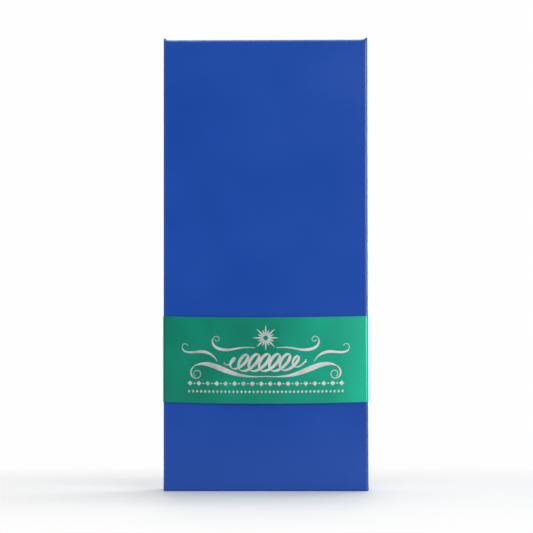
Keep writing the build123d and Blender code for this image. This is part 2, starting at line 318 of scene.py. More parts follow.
fill_world()
print("backdrop", BACKDROP, "fill", FILL_LOW, "to", FILL_HIGH)

# %% [markdown]
# ## Two surface groups
# Paper, board, foam and plastic all share one thing: at arm's length they look even, and close up
# their tone and their gloss wander a little. One group gives that to each material, at its own
# scale. A slow mottle and a fine grain move the colour and the gloss, and the grain alone makes
# the bump. Painting each material by hand would work too, but a shared group keeps them alike.

# %% Group: paper tooth
def make_paper_tooth():
    group, given, out = start_group(
        "paper tooth",
        [
            ("Colour", "Color", rgb(0.8, 0.8, 0.8)),
            ("Shade", "Float", 0.1),
            ("Mottle Scale", "Float", 40.0),
            ("Grain Scale", "Float", 2500.0),
            ("Gloss", "Float", 0.5),
            ("Gloss Spread", "Float", 0.05),
        ],
        [("Colour", "Color"), ("Roughness", "Float"), ("Height", "Float")],
    )
    mottle = add_noise(group, given["Mottle Scale"], detail=3.0)
    grain = add_noise(group, given["Grain Scale"], detail=4.0, roughness=0.62)
    wander = add_range(group, mottle, 0.3, 0.7, -1.0, 1.0)
    fibre = add_range(group, grain, 0.25, 0.75, -1.0, 1.0)
    both = add_math(group, "ADD", wander, add_math(group, "MULTIPLY", fibre, 0.5))
    tone = add_math(group, "ADD", 1.0, add_math(group, "MULTIPLY", both, given["Shade"]))
    shaded = add_node(group, "ShaderNodeHueSaturation", Value=tone, Color=given["Colour"])
    gloss = add_math(group, "MULTIPLY", both, given["Gloss Spread"])
    feed_all(group, out, Colour=shaded.outputs["Color"], Height=grain,
             Roughness=add_math(group, "ADD", given["Gloss"], gloss))
    return group


paper_tooth = make_paper_tooth()
print("group:", paper_tooth.name, [s.name for s in paper_tooth.interface.items_tree])

# %% [markdown]
# Folded paper rubs pale along its folds. The mesh carries that as a point attribute, from 0 on a
# face to 1 or more on a fold, and this group breaks it up with noise and fades the colour there. On
# the sleeve's head rim the same pale colour is made stronger and is a painted highlight on the
# rounded edge. Worn edges could come from a pointiness node, but an attribute is exact.

# %% Group: rubbed fold
def make_rubbed_fold_and_highlight():
    group, given, out = start_group(
        "rubbed fold and highlight",
        [
            ("Colour", "Color", rgb(0.5, 0.5, 0.5)),
            ("Rubbed Colour", "Color", rgb(0.8, 0.8, 0.8)),
            ("Amount", "Float", 0.3),
            ("Breakup Scale", "Float", 900.0),
        ],
        [("Colour", "Color"), ("Mask", "Float")],
    )
    rub_and_highlight = add_node(group, "ShaderNodeAttribute", {"attribute_name": "rub_and_highlight"})
    speck = add_noise(group, given["Breakup Scale"], detail=5.0, roughness=0.7)
    broken = add_range(group, speck, 0.42, 0.66)
    mask = add_math(group, "MULTIPLY", rub_and_highlight.outputs["Fac"], broken)
    mask = add_math(group, "MULTIPLY", mask, given["Amount"])
    # Pales the colour where the mask is high: wear on folds, and on the sleeve's rim a painted highlight as
    # well.
    mixed = add_mix(group, mask, given["Colour"], given["Rubbed Colour"])
    feed_all(group, out, Colour=mixed, Mask=mask)
    return group


rubbed_fold_and_highlight = make_rubbed_fold_and_highlight()
print("group:", rubbed_fold_and_highlight.name, [s.name for s in rubbed_fold_and_highlight.interface.items_tree])

# %% [markdown]
# Several of the box's finishes are one colour of paper, board, foil or plastic, each with its own
# tooth. One function makes them all, so that a finish is a few values where its piece is made.
# Pulp board and kraft tape also show specks of a second colour, which another noise scatters.

# %% Helper: a finish of one colour
FLECK_SCALE = 1500.0
FLECK_LOW = 0.66
FLECK_HIGH = 0.74


def make_finish(name, colour, shade, mottle, gloss, bump, grain=2600.0, spread=0.06,
                depth=0.05 * MM, flecks=None, **plain):
    """A material with the paper tooth; flecks is a second colour, and plain goes on the shader."""
    material, tree, shader = start_material(name, **plain)
    tooth = place_group(tree, paper_tooth, Colour=colour, Shade=shade, Mottle_Scale=mottle,
                        Grain_Scale=grain, Gloss=gloss, Gloss_Spread=spread)
    skin = tooth["Colour"]
    if flecks:
        specks = add_range(tree, add_noise(tree, FLECK_SCALE, detail=1.0), FLECK_LOW, FLECK_HIGH)
        skin = add_mix(tree, specks, skin, flecks)
    feed_all(tree, shader.inputs, Base_Color=skin, Roughness=tooth["Roughness"],
             Normal=add_bump(tree, tooth["Height"], bump, depth))
    return material


print("finishes of one colour ready")

# %% [markdown]
# ## Floor
# The box stands on pale seamless paper. Near the box the floor is plain matt paper and keeps the
# soft shadow. Further out it turns into the backdrop's own tone, so no horizon shows. A curved
# sweep would do the same, but a flat sheet with a fading material also suits views from above.

# %% Lay the floor
FLOOR_REACH = 0.8
FLOOR_WHITE = 0.985
FADE_START = 0.19
FADE_END = 0.50


def make_floor_material():
    material, tree, shader = start_material("seamless floor", Roughness=0.5)
    white = rgb(FLOOR_WHITE, FLOOR_WHITE, FLOOR_WHITE)
    tooth = place_group(tree, paper_tooth, Colour=white, Shade=0.01)
    feed_all(tree, shader.inputs, Base_Color=tooth["Colour"])
    reach = add_node(tree, "ShaderNodeVectorMath", {"operation": "LENGTH"}, Vector=object_place(tree))
    far = add_range(tree, reach.outputs["Value"], FADE_START, FADE_END)
    path = tree.nodes.new("ShaderNodeLightPath").outputs
    seen = add_math(tree, "MAXIMUM", path["Is Camera Ray"], path["Is Glossy Ray"])
    seen = add_math(tree, "MAXIMUM", seen, path["Is Transmission Ray"])
    backdrop = add_node(tree, "ShaderNodeEmission", Color=rgb(BACKDROP, BACKDROP, BACKDROP))
    blend = tree.nodes.new("ShaderNodeMixShader")
    factor = add_math(tree, "MULTIPLY", far, seen)
    for socket, value in zip(blend.inputs, (factor, shader.outputs[0], backdrop.outputs[0])):
        feed(tree, socket, value)
    feed_all(tree, tree.nodes["Material Output"].inputs, Surface=blend.outputs[0])
    return material


def lay_floor():
    mesh = bpy.data.meshes.new("floor")
    corners = [(x * FLOOR_REACH, y * FLOOR_REACH, 0) for x, y in ((-1, -1), (1, -1), (1, 1), (-1, 1))]
    mesh.from_pydata(corners, [], [(0, 1, 2, 3)])
    mesh.materials.append(make_floor_material())
    floor = add_object("floor", mesh)
    return floor


def flag_lamps(floor):
    """Keeps the low lamps off the floor, as a black flag in front of a lamp does."""
    flagged = bpy.data.collections.new("floor_out_of_low_lamps")
    flagged.objects.link(floor)
    for name in FLAGGED_LAMPS:
        softboxes[name].light_linking.receiver_collection = flagged
    for entry in flagged.collection_objects:
        entry.light_linking.link_state = "EXCLUDE"


floor = lay_floor()
flag_lamps(floor)
print("floor reaches", FLOOR_REACH, "m, fades from", FADE_START, "to", FADE_END)

# %% [markdown]
# ## Mesh helpers
# Wrapped paper follows its board round a corner that is not a true arc: it leaves the flat
# early, turns quickly in the middle and lies down again. A superellipse draws that with one
# exponent. `corner_points` gives a quarter of it, and `loop_points` joins four with straights.

# %% Outlines with rounded corners
CORNER_STEPS = 8
CORNER_EXPONENT = 2.3
NEAR_CORNER = (-1, -0.985, -0.95, -0.9, -0.82, -0.7, -0.56, -0.42, -0.28, -0.14, 0)
STATIONS = NEAR_CORNER + tuple(-s for s in reversed(NEAR_CORNER[:-1]))


def corner_points(cx, cy, reach, quarter):
    """Points of one rounded corner, counter-clockwise from above; quarter 0 is at +X -Y."""
    points = []
    for i in range(CORNER_STEPS + 1):
        t = math.pi / 2 * i / CORNER_STEPS
        u = reach * math.sin(t) ** (2 / CORNER_EXPONENT)
        v = reach * math.cos(t) ** (2 / CORNER_EXPONENT)
        x, y = ((u, -v), (v, u), (-u, v), (-v, -u))[quarter]
        points.append((cx + x, cy + y))
    return points


def loop_points(half_x, half_y, reach):
    """A closed rounded rectangle, with the same stations along each of its straights."""
    sx, sy = half_x - reach, half_y - reach
    points = [(sx * s, -half_y) for s in STATIONS]
    points += corner_points(sx, -sy, reach, 0)
    points += [(half_x, sy * s) for s in STATIONS]
    points += corner_points(sx, sy, reach, 1)
    points += [(-sx * s, half_y) for s in STATIONS]
    points += corner_points(-sx, sy, reach, 2)
    points += [(-half_x, -sy * s) for s in STATIONS]
    points += corner_points(-sx, -sy, reach, 3)
    return points


print("corners of", CORNER_STEPS, "steps,", len(STATIONS), "stations on each straight")

# %% Helpers for meshes
MERGE = 0.0001 * MM


def mesh_piece(name, vertices, faces, material, smooth=True):
    """A new object from points and faces, with its faces pointing outwards."""
    mesh = bpy.data.meshes.new(name)
    mesh.from_pydata([tuple(v) for v in vertices], [], faces)
    shape = bmesh.new()
    shape.from_mesh(mesh)
    bmesh.ops.remove_doubles(shape, verts=shape.verts, dist=MERGE)
    bmesh.ops.recalc_face_normals(shape, faces=shape.faces)
    shape.to_mesh(mesh)
    shape.free()
    mesh.materials.append(material)
    if smooth:
        mesh.shade_smooth()
    return add_object(name, mesh)


def grid_faces(rows, columns, closed_rows=False, closed_columns=False):
    """Quads over a grid of points that is stored row by row."""
    faces = []
    for r in range(rows if closed_rows else rows - 1):
        for c in range(columns if closed_columns else columns - 1):
            s, d = (r + 1) % rows, (c + 1) % columns
            faces.append((r * columns + c, r * columns + d, s * columns + d, s * columns + c))
    return faces


def tube_faces(rings, sides):
    """Quads of a tube of rings, with a face over each of its ends."""
    last = sides * (rings - 1)
    ends = [tuple(range(sides)), tuple(range(last, last + sides))[::-1]]
    return grid_faces(rings, sides, closed_columns=True) + ends


def set_attribute(piece, name, value_at):
    """Writes a number on every point of the mesh, from its place."""
    layer = piece.data.attributes.new(name, "FLOAT", "POINT")
    layer.data.foreach_set("value", [value_at(v.co) for v in piece.data.vertices])


def finish_piece(piece, body, nodes):
    """The piece rides on its body and stands for its CAD nodes, which are hidden."""
    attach(piece, body)
    if nodes:
        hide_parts(*nodes)
    count = sum(len(p.vertices) - 2 for p in piece.data.polygons)
    print(f"{piece.name}: {count} triangles, rides on {body}, stands for {', '.join(nodes) or 'nothing'}")


print("mesh helpers ready")

# %% [markdown]
# ## The blue sleeve paper
# One sheet of laminated blue paper wraps the four boards and turns over both mouths, where it
# ends in a short hem inside. It is made as one closed skin: a strip profile of real thickness,
# set at each station round the box. A subdivided box would look alike from afar, but would have
# no hem, no thin edge and no pinched corners where the turned paper bunches up.

# %% Material: blue laminated paper
BLUE = rgb(0.0066, 0.058, 0.340)
# A pale rubbed blue, which on the sleeve's rim also stands in as a painted highlight.
BLUE_RUBBED_AND_HIGHLIGHT = rgb(0.16, 0.28, 0.62)
RUBBED_DULL = 0.15


def make_blue_paper():
    """Where the paper is rubbed it is paler and has lost some of its gloss; on the sleeve's rim that paler
    colour is also a painted highlight.
    """
    material, tree, shader = start_material("blue laminated paper", IOR=1.42)
    tooth = place_group(tree, paper_tooth, Colour=BLUE, Shade=0.035, Mottle_Scale=22.0,
                        Grain_Scale=3200.0, Gloss=0.20, Gloss_Spread=0.03)
    worn = place_group(tree, rubbed_fold_and_highlight, Colour=tooth["Colour"], Rubbed_Colour=BLUE_RUBBED_AND_HIGHLIGHT, Amount=0.35)
    dull = add_math(tree, "MULTIPLY", worn["Mask"], RUBBED_DULL)
    feed_all(tree, shader.inputs, Base_Color=worn["Colour"],
             Roughness=add_math(tree, "ADD", tooth["Roughness"], dull),
             Normal=add_bump(tree, tooth["Height"], 0.10, 0.03 * MM))
    return material


blue_paper = make_blue_paper()
print("material:", blue_paper.name)

# %% Sizes of the wrap
CORNER_REACH = 1.5 * MM
LEAST_REACH = 0.3 * MM
RIM_ROUND = 1.4 * MM
FOOT_ROUND = 1.2 * MM
INNER_ROUND = 0.8 * MM
HEM = 16 * MM
RIM_HEAD = tip_head - 1.0 * MM
RIM_TURN = RIM_HEAD - RIM_ROUND * 0.99
TIP_WIDTH = 2.8 * MM
TIP_GAIN = 1.5
FOOT_FLARE = 0.12 * MM
FLARE_HEIGHT = 9 * MM
FLARE_REACH = 14 * MM
BOARD_WAVE = 0.045 * MM
WAVE_SCALE = 14
WAVE_BY_DEPTH = 0.3
WAVE_EASE = 20 * MM
WAVE_CORNER_EASE = 18 * MM
SLACK = 0.01 * MM
ARC_STEPS = 5
FACE_HEIGHTS = (3, 6, 10, 16, 26, 42, 62, 84, 108, 132, 156, 180, 204, 226, 244, 256, 264, 270, 274)
print(f"rim at {RIM_HEAD:.4f} with tips {tip_head - RIM_HEAD:.4f} above it, hem {HEM:.3f}")

# %% Profile of the wrap
def turn_points(inset, height, radius_in, radius_out, up, depth):
    """Inset and height along one folded mouth, from the outer face over the edge to the inside."""
    angles = [math.pi / 2 * i / ARC_STEPS for i in range(ARC_STEPS + 1)]
    points = [(inset + radius_out * (1 - math.cos(a)), height - up * radius_out * (1 - math.sin(a)))
              for a in angles]
    points += [(depth - radius_in * (1 - math.sin(a)), height - up * radius_in * (1 - math.cos(a)))
               for a in angles]
    return points


def wrap_profile():
    """The closed profile: along the outside of the paper, then back along the board's side."""
    outer = [(wall, HEM)]
    outer += reversed(turn_points(0, 0, INNER_ROUND, FOOT_ROUND, -1, wall))
    outer += [(0, z * MM) for z in FACE_HEIGHTS]
    outer += turn_points(0, RIM_HEAD, INNER_ROUND, RIM_ROUND, 1, wall)
    outer.append((wall, RIM_HEAD - HEM))
    t = wrap_paper
    inner = [(wall - t, RIM_HEAD - HEM)]
    inner += reversed(turn_points(t, RIM_HEAD - t, INNER_ROUND - t, RIM_ROUND - t, 1, wall - t))
    inner += [(t, z * MM) for z in reversed(FACE_HEIGHTS)]
    inner += turn_points(t, t, INNER_ROUND - t, FOOT_ROUND - t, -1, wall - t)
    inner.append((wall - t, HEM))
    return outer + inner


print("profile of", len(wrap_profile()), "points")

# %% Lay the paper over the boards
def corner_distance(x, y):
    """How far a point, seen from above, is from the nearest upright of the sleeve."""
    return Vector((half_width - abs(x), half_depth - abs(y))).length


def nearness(distance, reach):
    """1 where there is no distance, evenly down to 0 at the reach, and 0 past it."""
    return max(0.0, 1 - distance / reach)


def wrap_shape(x, y, z, inset):
    """Small moves that wrapping leaves: pinched tips, a flared foot and a slow board wave."""
    corner = corner_distance(x, y)
    if z > RIM_TURN:
        z += (tip_head - z) * min(1.0, TIP_GAIN * nearness(corner, TIP_WIDTH))
    if z < FLARE_HEIGHT and inset < wall / 2:
        x += math.copysign(FOOT_FLARE * nearness(corner, FLARE_REACH) * (1 - z / FLARE_HEIGHT), x)
    ease = min(1.0, z / WAVE_EASE, (RIM_HEAD - z) / WAVE_EASE, corner / WAVE_CORNER_EASE)
    wave = BOARD_WAVE * max(0.0, ease) * noise.noise(Vector((x, WAVE_BY_DEPTH * y, z)) * WAVE_SCALE)
    if abs(y) > half_depth - wall - SLACK:
        y += math.copysign(wave, y)
    return x, y, min(z, tip_head)


def wrap_sleeve():
    profile = wrap_profile()
    points = []
    for inset, z in profile:
        reach = max(CORNER_REACH - inset, LEAST_REACH)
        loop = loop_points(half_width - inset, half_depth - inset, reach)
        points += [wrap_shape(x, y, z, inset) for x, y in loop]
    faces = grid_faces(len(profile), len(points) // len(profile), closed_rows=True, closed_columns=True)
    return mesh_piece("blue_wrap", points, faces, blue_paper)


# %% Rub the folds, paint the rim's highlight and finish the sleeve's paper
UPRIGHT_FOLD = 0.8 * MM
FOLD_RUB = 0.9 * MM
FOOT_RUB = 0.5 * MM
UPRIGHT_WEAR = 0.8
# Strength of the head rim's pale line: painted highlight as well as wear.
RIM_WEAR_AND_HIGHLIGHT = 1.7


def rub_and_highlight_of_sleeve(point):
    """How strongly the paper is rubbed here, on the uprights and on both mouths' edges; on the head rim the
    value is raised so that it also paints a highlight.
    """
    upright = nearness(abs(corner_distance(point.x, point.y) - UPRIGHT_FOLD), FOLD_RUB)
    rim = nearness(abs(RIM_HEAD - point.z), FOLD_RUB)
    foot = nearness(point.z, FOOT_RUB)
    # The head rim's share is painted highlight as well as wear: it pales the rounded edge as a lamp's line
    # would.
    return max(upright * UPRIGHT_WEAR, rim * RIM_WEAR_AND_HIGHLIGHT, foot)


sleeve_paper = wrap_sleeve()
set_attribute(sleeve_paper, "rub_and_highlight", rub_and_highlight_of_sleeve)
finish_piece(sleeve_paper, "sleeve", ["sleeve_wrap"])

# %% [markdown]
# ## The belly band
# A strip of pearl green paper goes round the sleeve and is glued to itself at the back. Paper
# held only by its own loop never lies dead flat: its front bellies out a little and its edges
# bow. So it is a strip swept along a path, with a real lap, and not a box pulled over the sleeve.

# %% Material: pearl green paper
# The pale green is both the rubbed folds' colour and the colour of a painted sheen.
PEARL_GREEN = rgb(0.0005, 0.31, 0.195)
PEARL_RUBBED_AND_SHEEN = rgb(0.05, 0.46, 0.30)


def make_pearl_paper():
    material, tree, shader = start_material("pearl green paper", Metallic=0.96, Coat_Weight=0.6,
                                            Coat_Roughness=0.24)
    tooth = place_group(tree, paper_tooth, Colour=PEARL_GREEN, Shade=0.05, Mottle_Scale=30.0,
                        Grain_Scale=5200.0, Gloss=0.32, Gloss_Spread=0.04)
    worn = place_group(tree, rubbed_fold_and_highlight, Colour=tooth["Colour"], Rubbed_Colour=PEARL_RUBBED_AND_SHEEN,
                       Amount=0.5, Breakup_Scale=1400.0)
    # Painted sheen: the colour turns pale where the paper is seen at a slant, as a reflection would make it.
    painted_sheen = add_node(tree, "ShaderNodeLayerWeight", Blend=0.25).outputs["Facing"]
    feed_all(tree, shader.inputs, Base_Color=add_mix(tree, painted_sheen, worn["Colour"], PEARL_RUBBED_AND_SHEEN),
             Roughness=tooth["Roughness"], Normal=add_bump(tree, tooth["Height"], 0.16, 0.03 * MM))
    return material


pearl_paper = make_pearl_paper()
print("material:", pearl_paper.name)

# %% Sizes of the band
BAND_PAPER = 0.2 * MM
BAND_GAP = 0.15 * MM
BAND_BELLY = 1.05 * MM
BAND_SIDE_BELLY = 0.15 * MM
BAND_LIFT = 0.5 * MM
BOW_HEAD = 0.75 * MM
BOW_FOOT = 1.1 * MM
LAP_RISE = 0.3 * MM
LAP_EASE = 7 * MM
LAP_CLEAR = 16 * MM
CORNER_CLEAR = 3 * MM
FRONT_DEPTH = 1 * MM
BAND_ROWS = 8
lap_low, lap_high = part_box("band_glue")
print(f"band {band_high.z - band_low.z:.4f} high, lap {lap_high.x - lap_low.x:.4f} wide")

# %% Shape of the band
def belly(place, half):
    """How far a panel stands out, as a share of its most: 1 at its middle, 0 at both its ends."""
    share = min(1.0, abs(place) / half)
    return 1 - share * share


def band_front(x, out=0.0):
    """Y of the band's front face at x, with out metres of air or foil before it."""
    return -(half_depth + BAND_GAP + BAND_PAPER + BAND_BELLY * belly(x, half_width) + out)


def band_bow(x, y, share):
    """How far an edge of the front panel hangs below its corners; share is 0 at foot, 1 at head."""
    if y > -half_depth + FRONT_DEPTH:
        return 0.0
    return (BOW_FOOT + (BOW_HEAD - BOW_FOOT) * share) * belly(x, half_width)


def band_path():
    """The strip's inner face from the lap's under end, round the front, to the lap's outer end."""
    loop = loop_points(half_width + BAND_GAP, half_depth + BAND_GAP, CORNER_REACH + BAND_GAP)
    back = half_depth + BAND_GAP
    behind = [(x, y) for x, y in loop if y > back - SLACK and abs(x) < half_width - CORNER_CLEAR]
    start = loop.index(min(behind, key=lambda p: abs(p[0] - lap_low.x)))
    ordered = reversed(loop[start:] + loop[:start])
    path = [(lap_low.x, back), (lap_high.x, back)]
    path += [p for p in ordered if not (p[1] > back - SLACK and abs(p[0]) < LAP_CLEAR)]
    for x, rise in ((lap_low.x - LAP_EASE, 0.0), (lap_low.x - LAP_EASE / 2, 0.5), (lap_low.x, 1.0),
                    (0.0, 1.0), (lap_high.x, 1.0)):
        path.append((x, back + LAP_RISE * rise))
    return path


def path_normals(path):
    """Unit normals of an open path, to the outside of a loop that runs clockwise from above."""
    normals = []
    for i in range(len(path)):
        before, after = Vector(path[max(i - 1, 0)]), Vector(path[min(i + 1, len(path) - 1)])
        along = (after - before).normalized()
        normals.append(Vector((-along.y, along.x)))
    return normals


def panel_belly(x, y):
    """How far the strip stands out here; only its front and its sides belly."""
    if abs(x) > half_width - SLACK:
        return BAND_SIDE_BELLY * belly(y, half_depth)
    return BAND_BELLY * belly(x, half_width) if y < -half_depth + SLACK else 0


def shape_band():
    """Sweeps the strip's section, a thin upright loop, along the path."""
    path = band_path()
    low, height = band_low.z + BAND_LIFT, band_high.z - band_low.z
    shares = [r / BAND_ROWS for r in range(BAND_ROWS + 1)]
    points = []
    for (x, y), normal in zip(path, path_normals(path)):
        panel = panel_belly(x, y)
        for out, order in ((panel, shares), (panel + BAND_PAPER, shares[::-1])):
            for share in order:
                z = low + height * share - band_bow(x, y, share)
                points.append((x + normal.x * out, y + normal.y * out, z))
    faces = tube_faces(len(path), 2 * len(shares))
    return mesh_piece("green_band", points, faces, pearl_paper, smooth=False)


# %% Rub the band's folds and finish it
BAND_FOLD = 0.6 * MM
UPRIGHT_FACE = 0.5
BAND_SHARP = math.radians(40)


def rub_of_band(point):
    return nearness(abs(corner_distance(point.x, point.y) - BAND_FOLD), FOLD_RUB)


band = shape_band()
set_attribute(band, "rub_and_highlight", rub_of_band)
for face in band.data.polygons:
    face.use_smooth = abs(face.normal.z) < UPRIGHT_FACE
band.data.set_sharp_from_angle(angle=BAND_SHARP)
finish_piece(band, "band", ["belly_band"])

# %% [markdown]
# ## Silver print on the band
# The band carries a silver foil print. Here it is a generic pen flourish: mirrored scrolls whose
# strokes swell as a broad nib's do, a coil of slanted ovals as in a writing drill, a star of
# tapered rays, and two fine ornament rows. Each scroll is a line whose curvature changes evenly,
# because that is how a pen hand moves. The foil is real geometry, a few hundredths of a
# millimetre thick, on the paper.

# %% Material: silver foil
silver_foil = make_finish("silver foil print", rgb(0.50, 0.52, 0.515), shade=0.06, mottle=180.0, gloss=0.42,
                          bump=0.15, grain=6000.0, spread=0.10, depth=0.03 * MM, Metallic=0.9)
print("material:", silver_foil.name)

# %% Lines of a pen
PEN_ANGLE = math.radians(-35)
STROKE_STEP = 0.35
SCROLL_TAPER = 1.15
COIL_HEIGHT = -1.5
COIL_STEPS = 44
COIL_TAPER = 5
COIL_PRESSURE = 1.5


def follow_curl(start, heading, runs):
    """Points and headings of a line whose curvature changes evenly along each run."""
    x, z = start
    angle = math.radians(heading)
    points = [(x, z, angle)]
    for length, first, last in runs:
        count = max(2, round(length / STROKE_STEP))
        step = length / count
        for i in range(count):
            turn = (first + (last - first) * (i + 0.5) / count) * step
            angle += turn / 2
            x += math.cos(angle) * step
            z += math.sin(angle) * step
            angle += turn / 2
            points.append((x, z, angle))
    return points


def nib_width(angle, thin, swell, pressure=1.0):
    """A broad nib's line: thin along the pen's angle and full across it."""
    return thin + swell * abs(math.sin(angle - PEN_ANGLE)) ** pressure


def scroll_widths(points, thin, swell):
    """Widths along a scroll, which is drawn out at both its ends."""
    last = len(points) - 1
    eases = [math.sin(math.pi * min(1.0, SCROLL_TAPER * i / last)) ** 2 for i in range(last + 1)]
    return [nib_width(angle, thin, swell * ease) for (x, z, angle), ease in zip(points, eases)]


def oval_coil(width, height, loop, turns, slant):
    """The middle of the flourish: slanted ovals drawn in one line, small at both ends."""
    count = round(turns * COIL_STEPS)
    spots = []
    for i in range(count + 1):
        share = i / count
        theta = 2 * math.pi * turns * share + math.pi
        grow = min(1.0, 4 * share, 4 * (1 - share)) ** 0.6
        z = height / 2 * grow * math.sin(theta)
        x = width * (share - 0.5) + loop * grow * math.cos(theta) + slant * z
        spots.append((x, z + COIL_HEIGHT))
    points = []
    for i, (x, z) in enumerate(spots):
        next_x, next_z = spots[min(i + 1, count)]
        last_x, last_z = spots[max(i - 1, 0)]
        points.append((x, z, math.atan2(next_z - last_z, next_x - last_x)))
    return points


def coil_widths(points, thin, swell):
    """Widths along the coil, where the pen presses harder on its upright strokes."""
    last = len(points) - 1
    eases = [min(1.0, COIL_TAPER * i / last, COIL_TAPER * (last - i) / last) for i in range(last + 1)]
    return [nib_width(angle, thin, swell * ease, COIL_PRESSURE) for (x, z, angle), ease in zip(points, eases)]


print("pen held at", round(math.degrees(PEN_ANGLE)), "degrees")

# %% Star and the way foil lies on the band
STAR_HEIGHT = 12.2
STAR_HUB = 1.2
STAR_RAYS = 16
LONG_RAY = 5.8
SHORT_RAY = 3.6
RAY_THIN = 0.12
RAY_SWELL = 0.7
RAY_BULGE = 0.7
FOIL = 0.03 * MM
FOIL_SEAT = 0.004 * MM
FOIL_RISE = 0.3
FOIL_HANG = 0.8
FLOURISH_HEIGHT = 82 * MM
FLOURISH_SCALE = 1.11 * MM


def star_ray(number):
    """One tapered ray; every other ray is short."""
    heading = 360 / STAR_RAYS * number
    angle = math.radians(heading)
    start = (STAR_HUB * math.cos(angle), STAR_HEIGHT + STAR_HUB * math.sin(angle))
    points = follow_curl(start, heading, [(SHORT_RAY if number % 2 else LONG_RAY, 0, 0)])
    last = len(points) - 1
    swells = [math.sin(math.pi * (i / last) ** RAY_BULGE) for i in range(last + 1)]
    return points, [RAY_THIN + RAY_SWELL * swell for swell in swells]


def band_place(x, z, out):
    """A point on the band's front, out metres before it; it hangs with the bowed paper."""
    return x, band_front(x, out), z - BOW_FOOT * belly(x, half_width) * FOIL_HANG


def stroke_mesh(points, widths, mirror, lift, vertices, faces):
    """Adds one stroke as a thin closed ribbon on the band; it rises a little as it goes."""
    base = len(vertices)
    for i, ((x, z, angle), width) in enumerate(zip(points, widths)):
        across = Vector((-math.sin(angle), math.cos(angle))) * width / 2
        top = lift + FOIL_RISE * FOIL * i / len(points)
        for side, out in ((-1, FOIL_SEAT), (1, FOIL_SEAT), (1, top), (-1, top)):
            px = mirror * (x + across.x * side) * FLOURISH_SCALE
            pz = FLOURISH_HEIGHT + (z + across.y * side) * FLOURISH_SCALE
            vertices.append(band_place(px, pz, out))
    for face in tube_faces(len(points), 4):
        faces.append(tuple(base + i for i in face[::mirror]))


print("star of", STAR_RAYS, "rays, foil", round(FOIL / MM, 3), "mm thick")

# %% Print the flourish
# Each stroke: start (x, z), heading in degrees, runs of (length, first and last curvature), thin
# and swell. Lengths are millimetres about the flourish's centre, curvatures are per millimetre.
SCROLLS = [
    ((0, -9.2), -4, [(16, 0.01, 0.03), (14, 0.03, -0.02), (10, -0.03, -0.12), (22, -0.16, -0.62)],
     0.35, 3.0),
    ((27, -1.0), 62, [(9, -0.10, -0.10), (10, -0.12, 0.12), (9, 0.22, 0.75)], 0.3, 2.1),
    ((6.0, 6.6), 10, [(11, -0.05, -0.02), (10, 0.02, 0.10), (7, 0.16, 0.34), (8, 0.4, 1.0)], 0.3, 1.9),
]
LAYER_RISE = 0.1


def print_flourish():
    vertices, faces = [], []
    for layer, (start, heading, runs, thin, swell) in enumerate(SCROLLS):
        points = follow_curl(start, heading, runs)
        widths = scroll_widths(points, thin, swell)
        for mirror in (1, -1):
            stroke_mesh(points, widths, mirror, FOIL * (1 + LAYER_RISE * layer), vertices, faces)
    coil = oval_coil(width=46, height=9.5, loop=3.4, turns=8, slant=0.55)
    stroke_mesh(coil, coil_widths(coil, thin=0.3, swell=1.35), 1, FOIL, vertices, faces)
    for number in range(STAR_RAYS):
        stroke_mesh(*star_ray(number), 1, FOIL, vertices, faces)
    return mesh_piece("silver_scrolls", vertices, faces, silver_foil, smooth=False)


finish_piece(print_flourish(), "band", [])

# %% [markdown]
# ## Geometry Nodes helpers
# Rows of ornaments, the ribs of the cap and the barbs of the feather all repeat by a rule, so
# Geometry Nodes make them. A tree is built with named inputs, its result is turned to a plain
# mesh, and the modifier goes away, so nothing is left to change later.

# %% Helpers for Geometry Nodes
def start_geometry(name, inputs):
    """A geometry tree with a Geometry output; inputs are (label, kind, value)."""
    shape = ("Geometry", "Geometry", None)
    tree, given, out = start_group(name, [shape, *inputs], [shape[:2]], "GeometryNodeTree")
    tree.is_modifier = True
    return tree, given, out


def add_step(tree, kind, fields=None, **inputs):
    """The first output of a new node, which in most geometry nodes is all that is needed."""
    return add_node(tree, kind, fields, **inputs).outputs[0]


def join_xyz(tree, x=0.0, y=0.0, z=0.0):
    return add_step(tree, "ShaderNodeCombineXYZ", X=x, Y=y, Z=z)


def repeat_on(tree, points, shape):
    """The shape on every point, as real geometry."""
    placed = add_step(tree, "GeometryNodeInstanceOnPoints", Points=points, Instance=shape)
    return add_step(tree, "GeometryNodeRealizeInstances", Geometry=placed)


def end_tree(tree, out, geometry, material):
    painted = add_step(tree, "GeometryNodeSetMaterial", Geometry=geometry, Material=material)
    feed_all(tree, out, Geometry=painted)
    return tree


def grow_piece(name, tree, **values):
    """Runs a tree on an empty object and keeps the result as a plain mesh piece."""
    seed = add_object(name + "_seed", bpy.data.meshes.new(name + "_seed"))
    modifier = seed.modifiers.new("grow", "NODES")
    modifier.node_group = tree
    sockets = {s.name: s.identifier for s in tree.interface.items_tree if s.in_out == "INPUT"}
    for label, value in values.items():
        modifier[sockets[label.replace("_", " ")]] = value
    evaluated = seed.evaluated_get(bpy.context.evaluated_depsgraph_get())
    mesh = bpy.data.meshes.new_from_object(evaluated)
    mesh.name = name
    bpy.data.objects.remove(seed)
    return add_object(name, mesh)


print("geometry helpers ready")

# %% [markdown]
# Two printed rows run under the flourish: lozenges with dots between them, and below them a fine
# rule of small lozenges. One tree sets a motif on every station of a line. The number of sides
# sets how many corners the motif has, so the same tree prints lozenges and round dots.

# %% Tree: printed row
FOIL_MERGE = 0.001 * MM


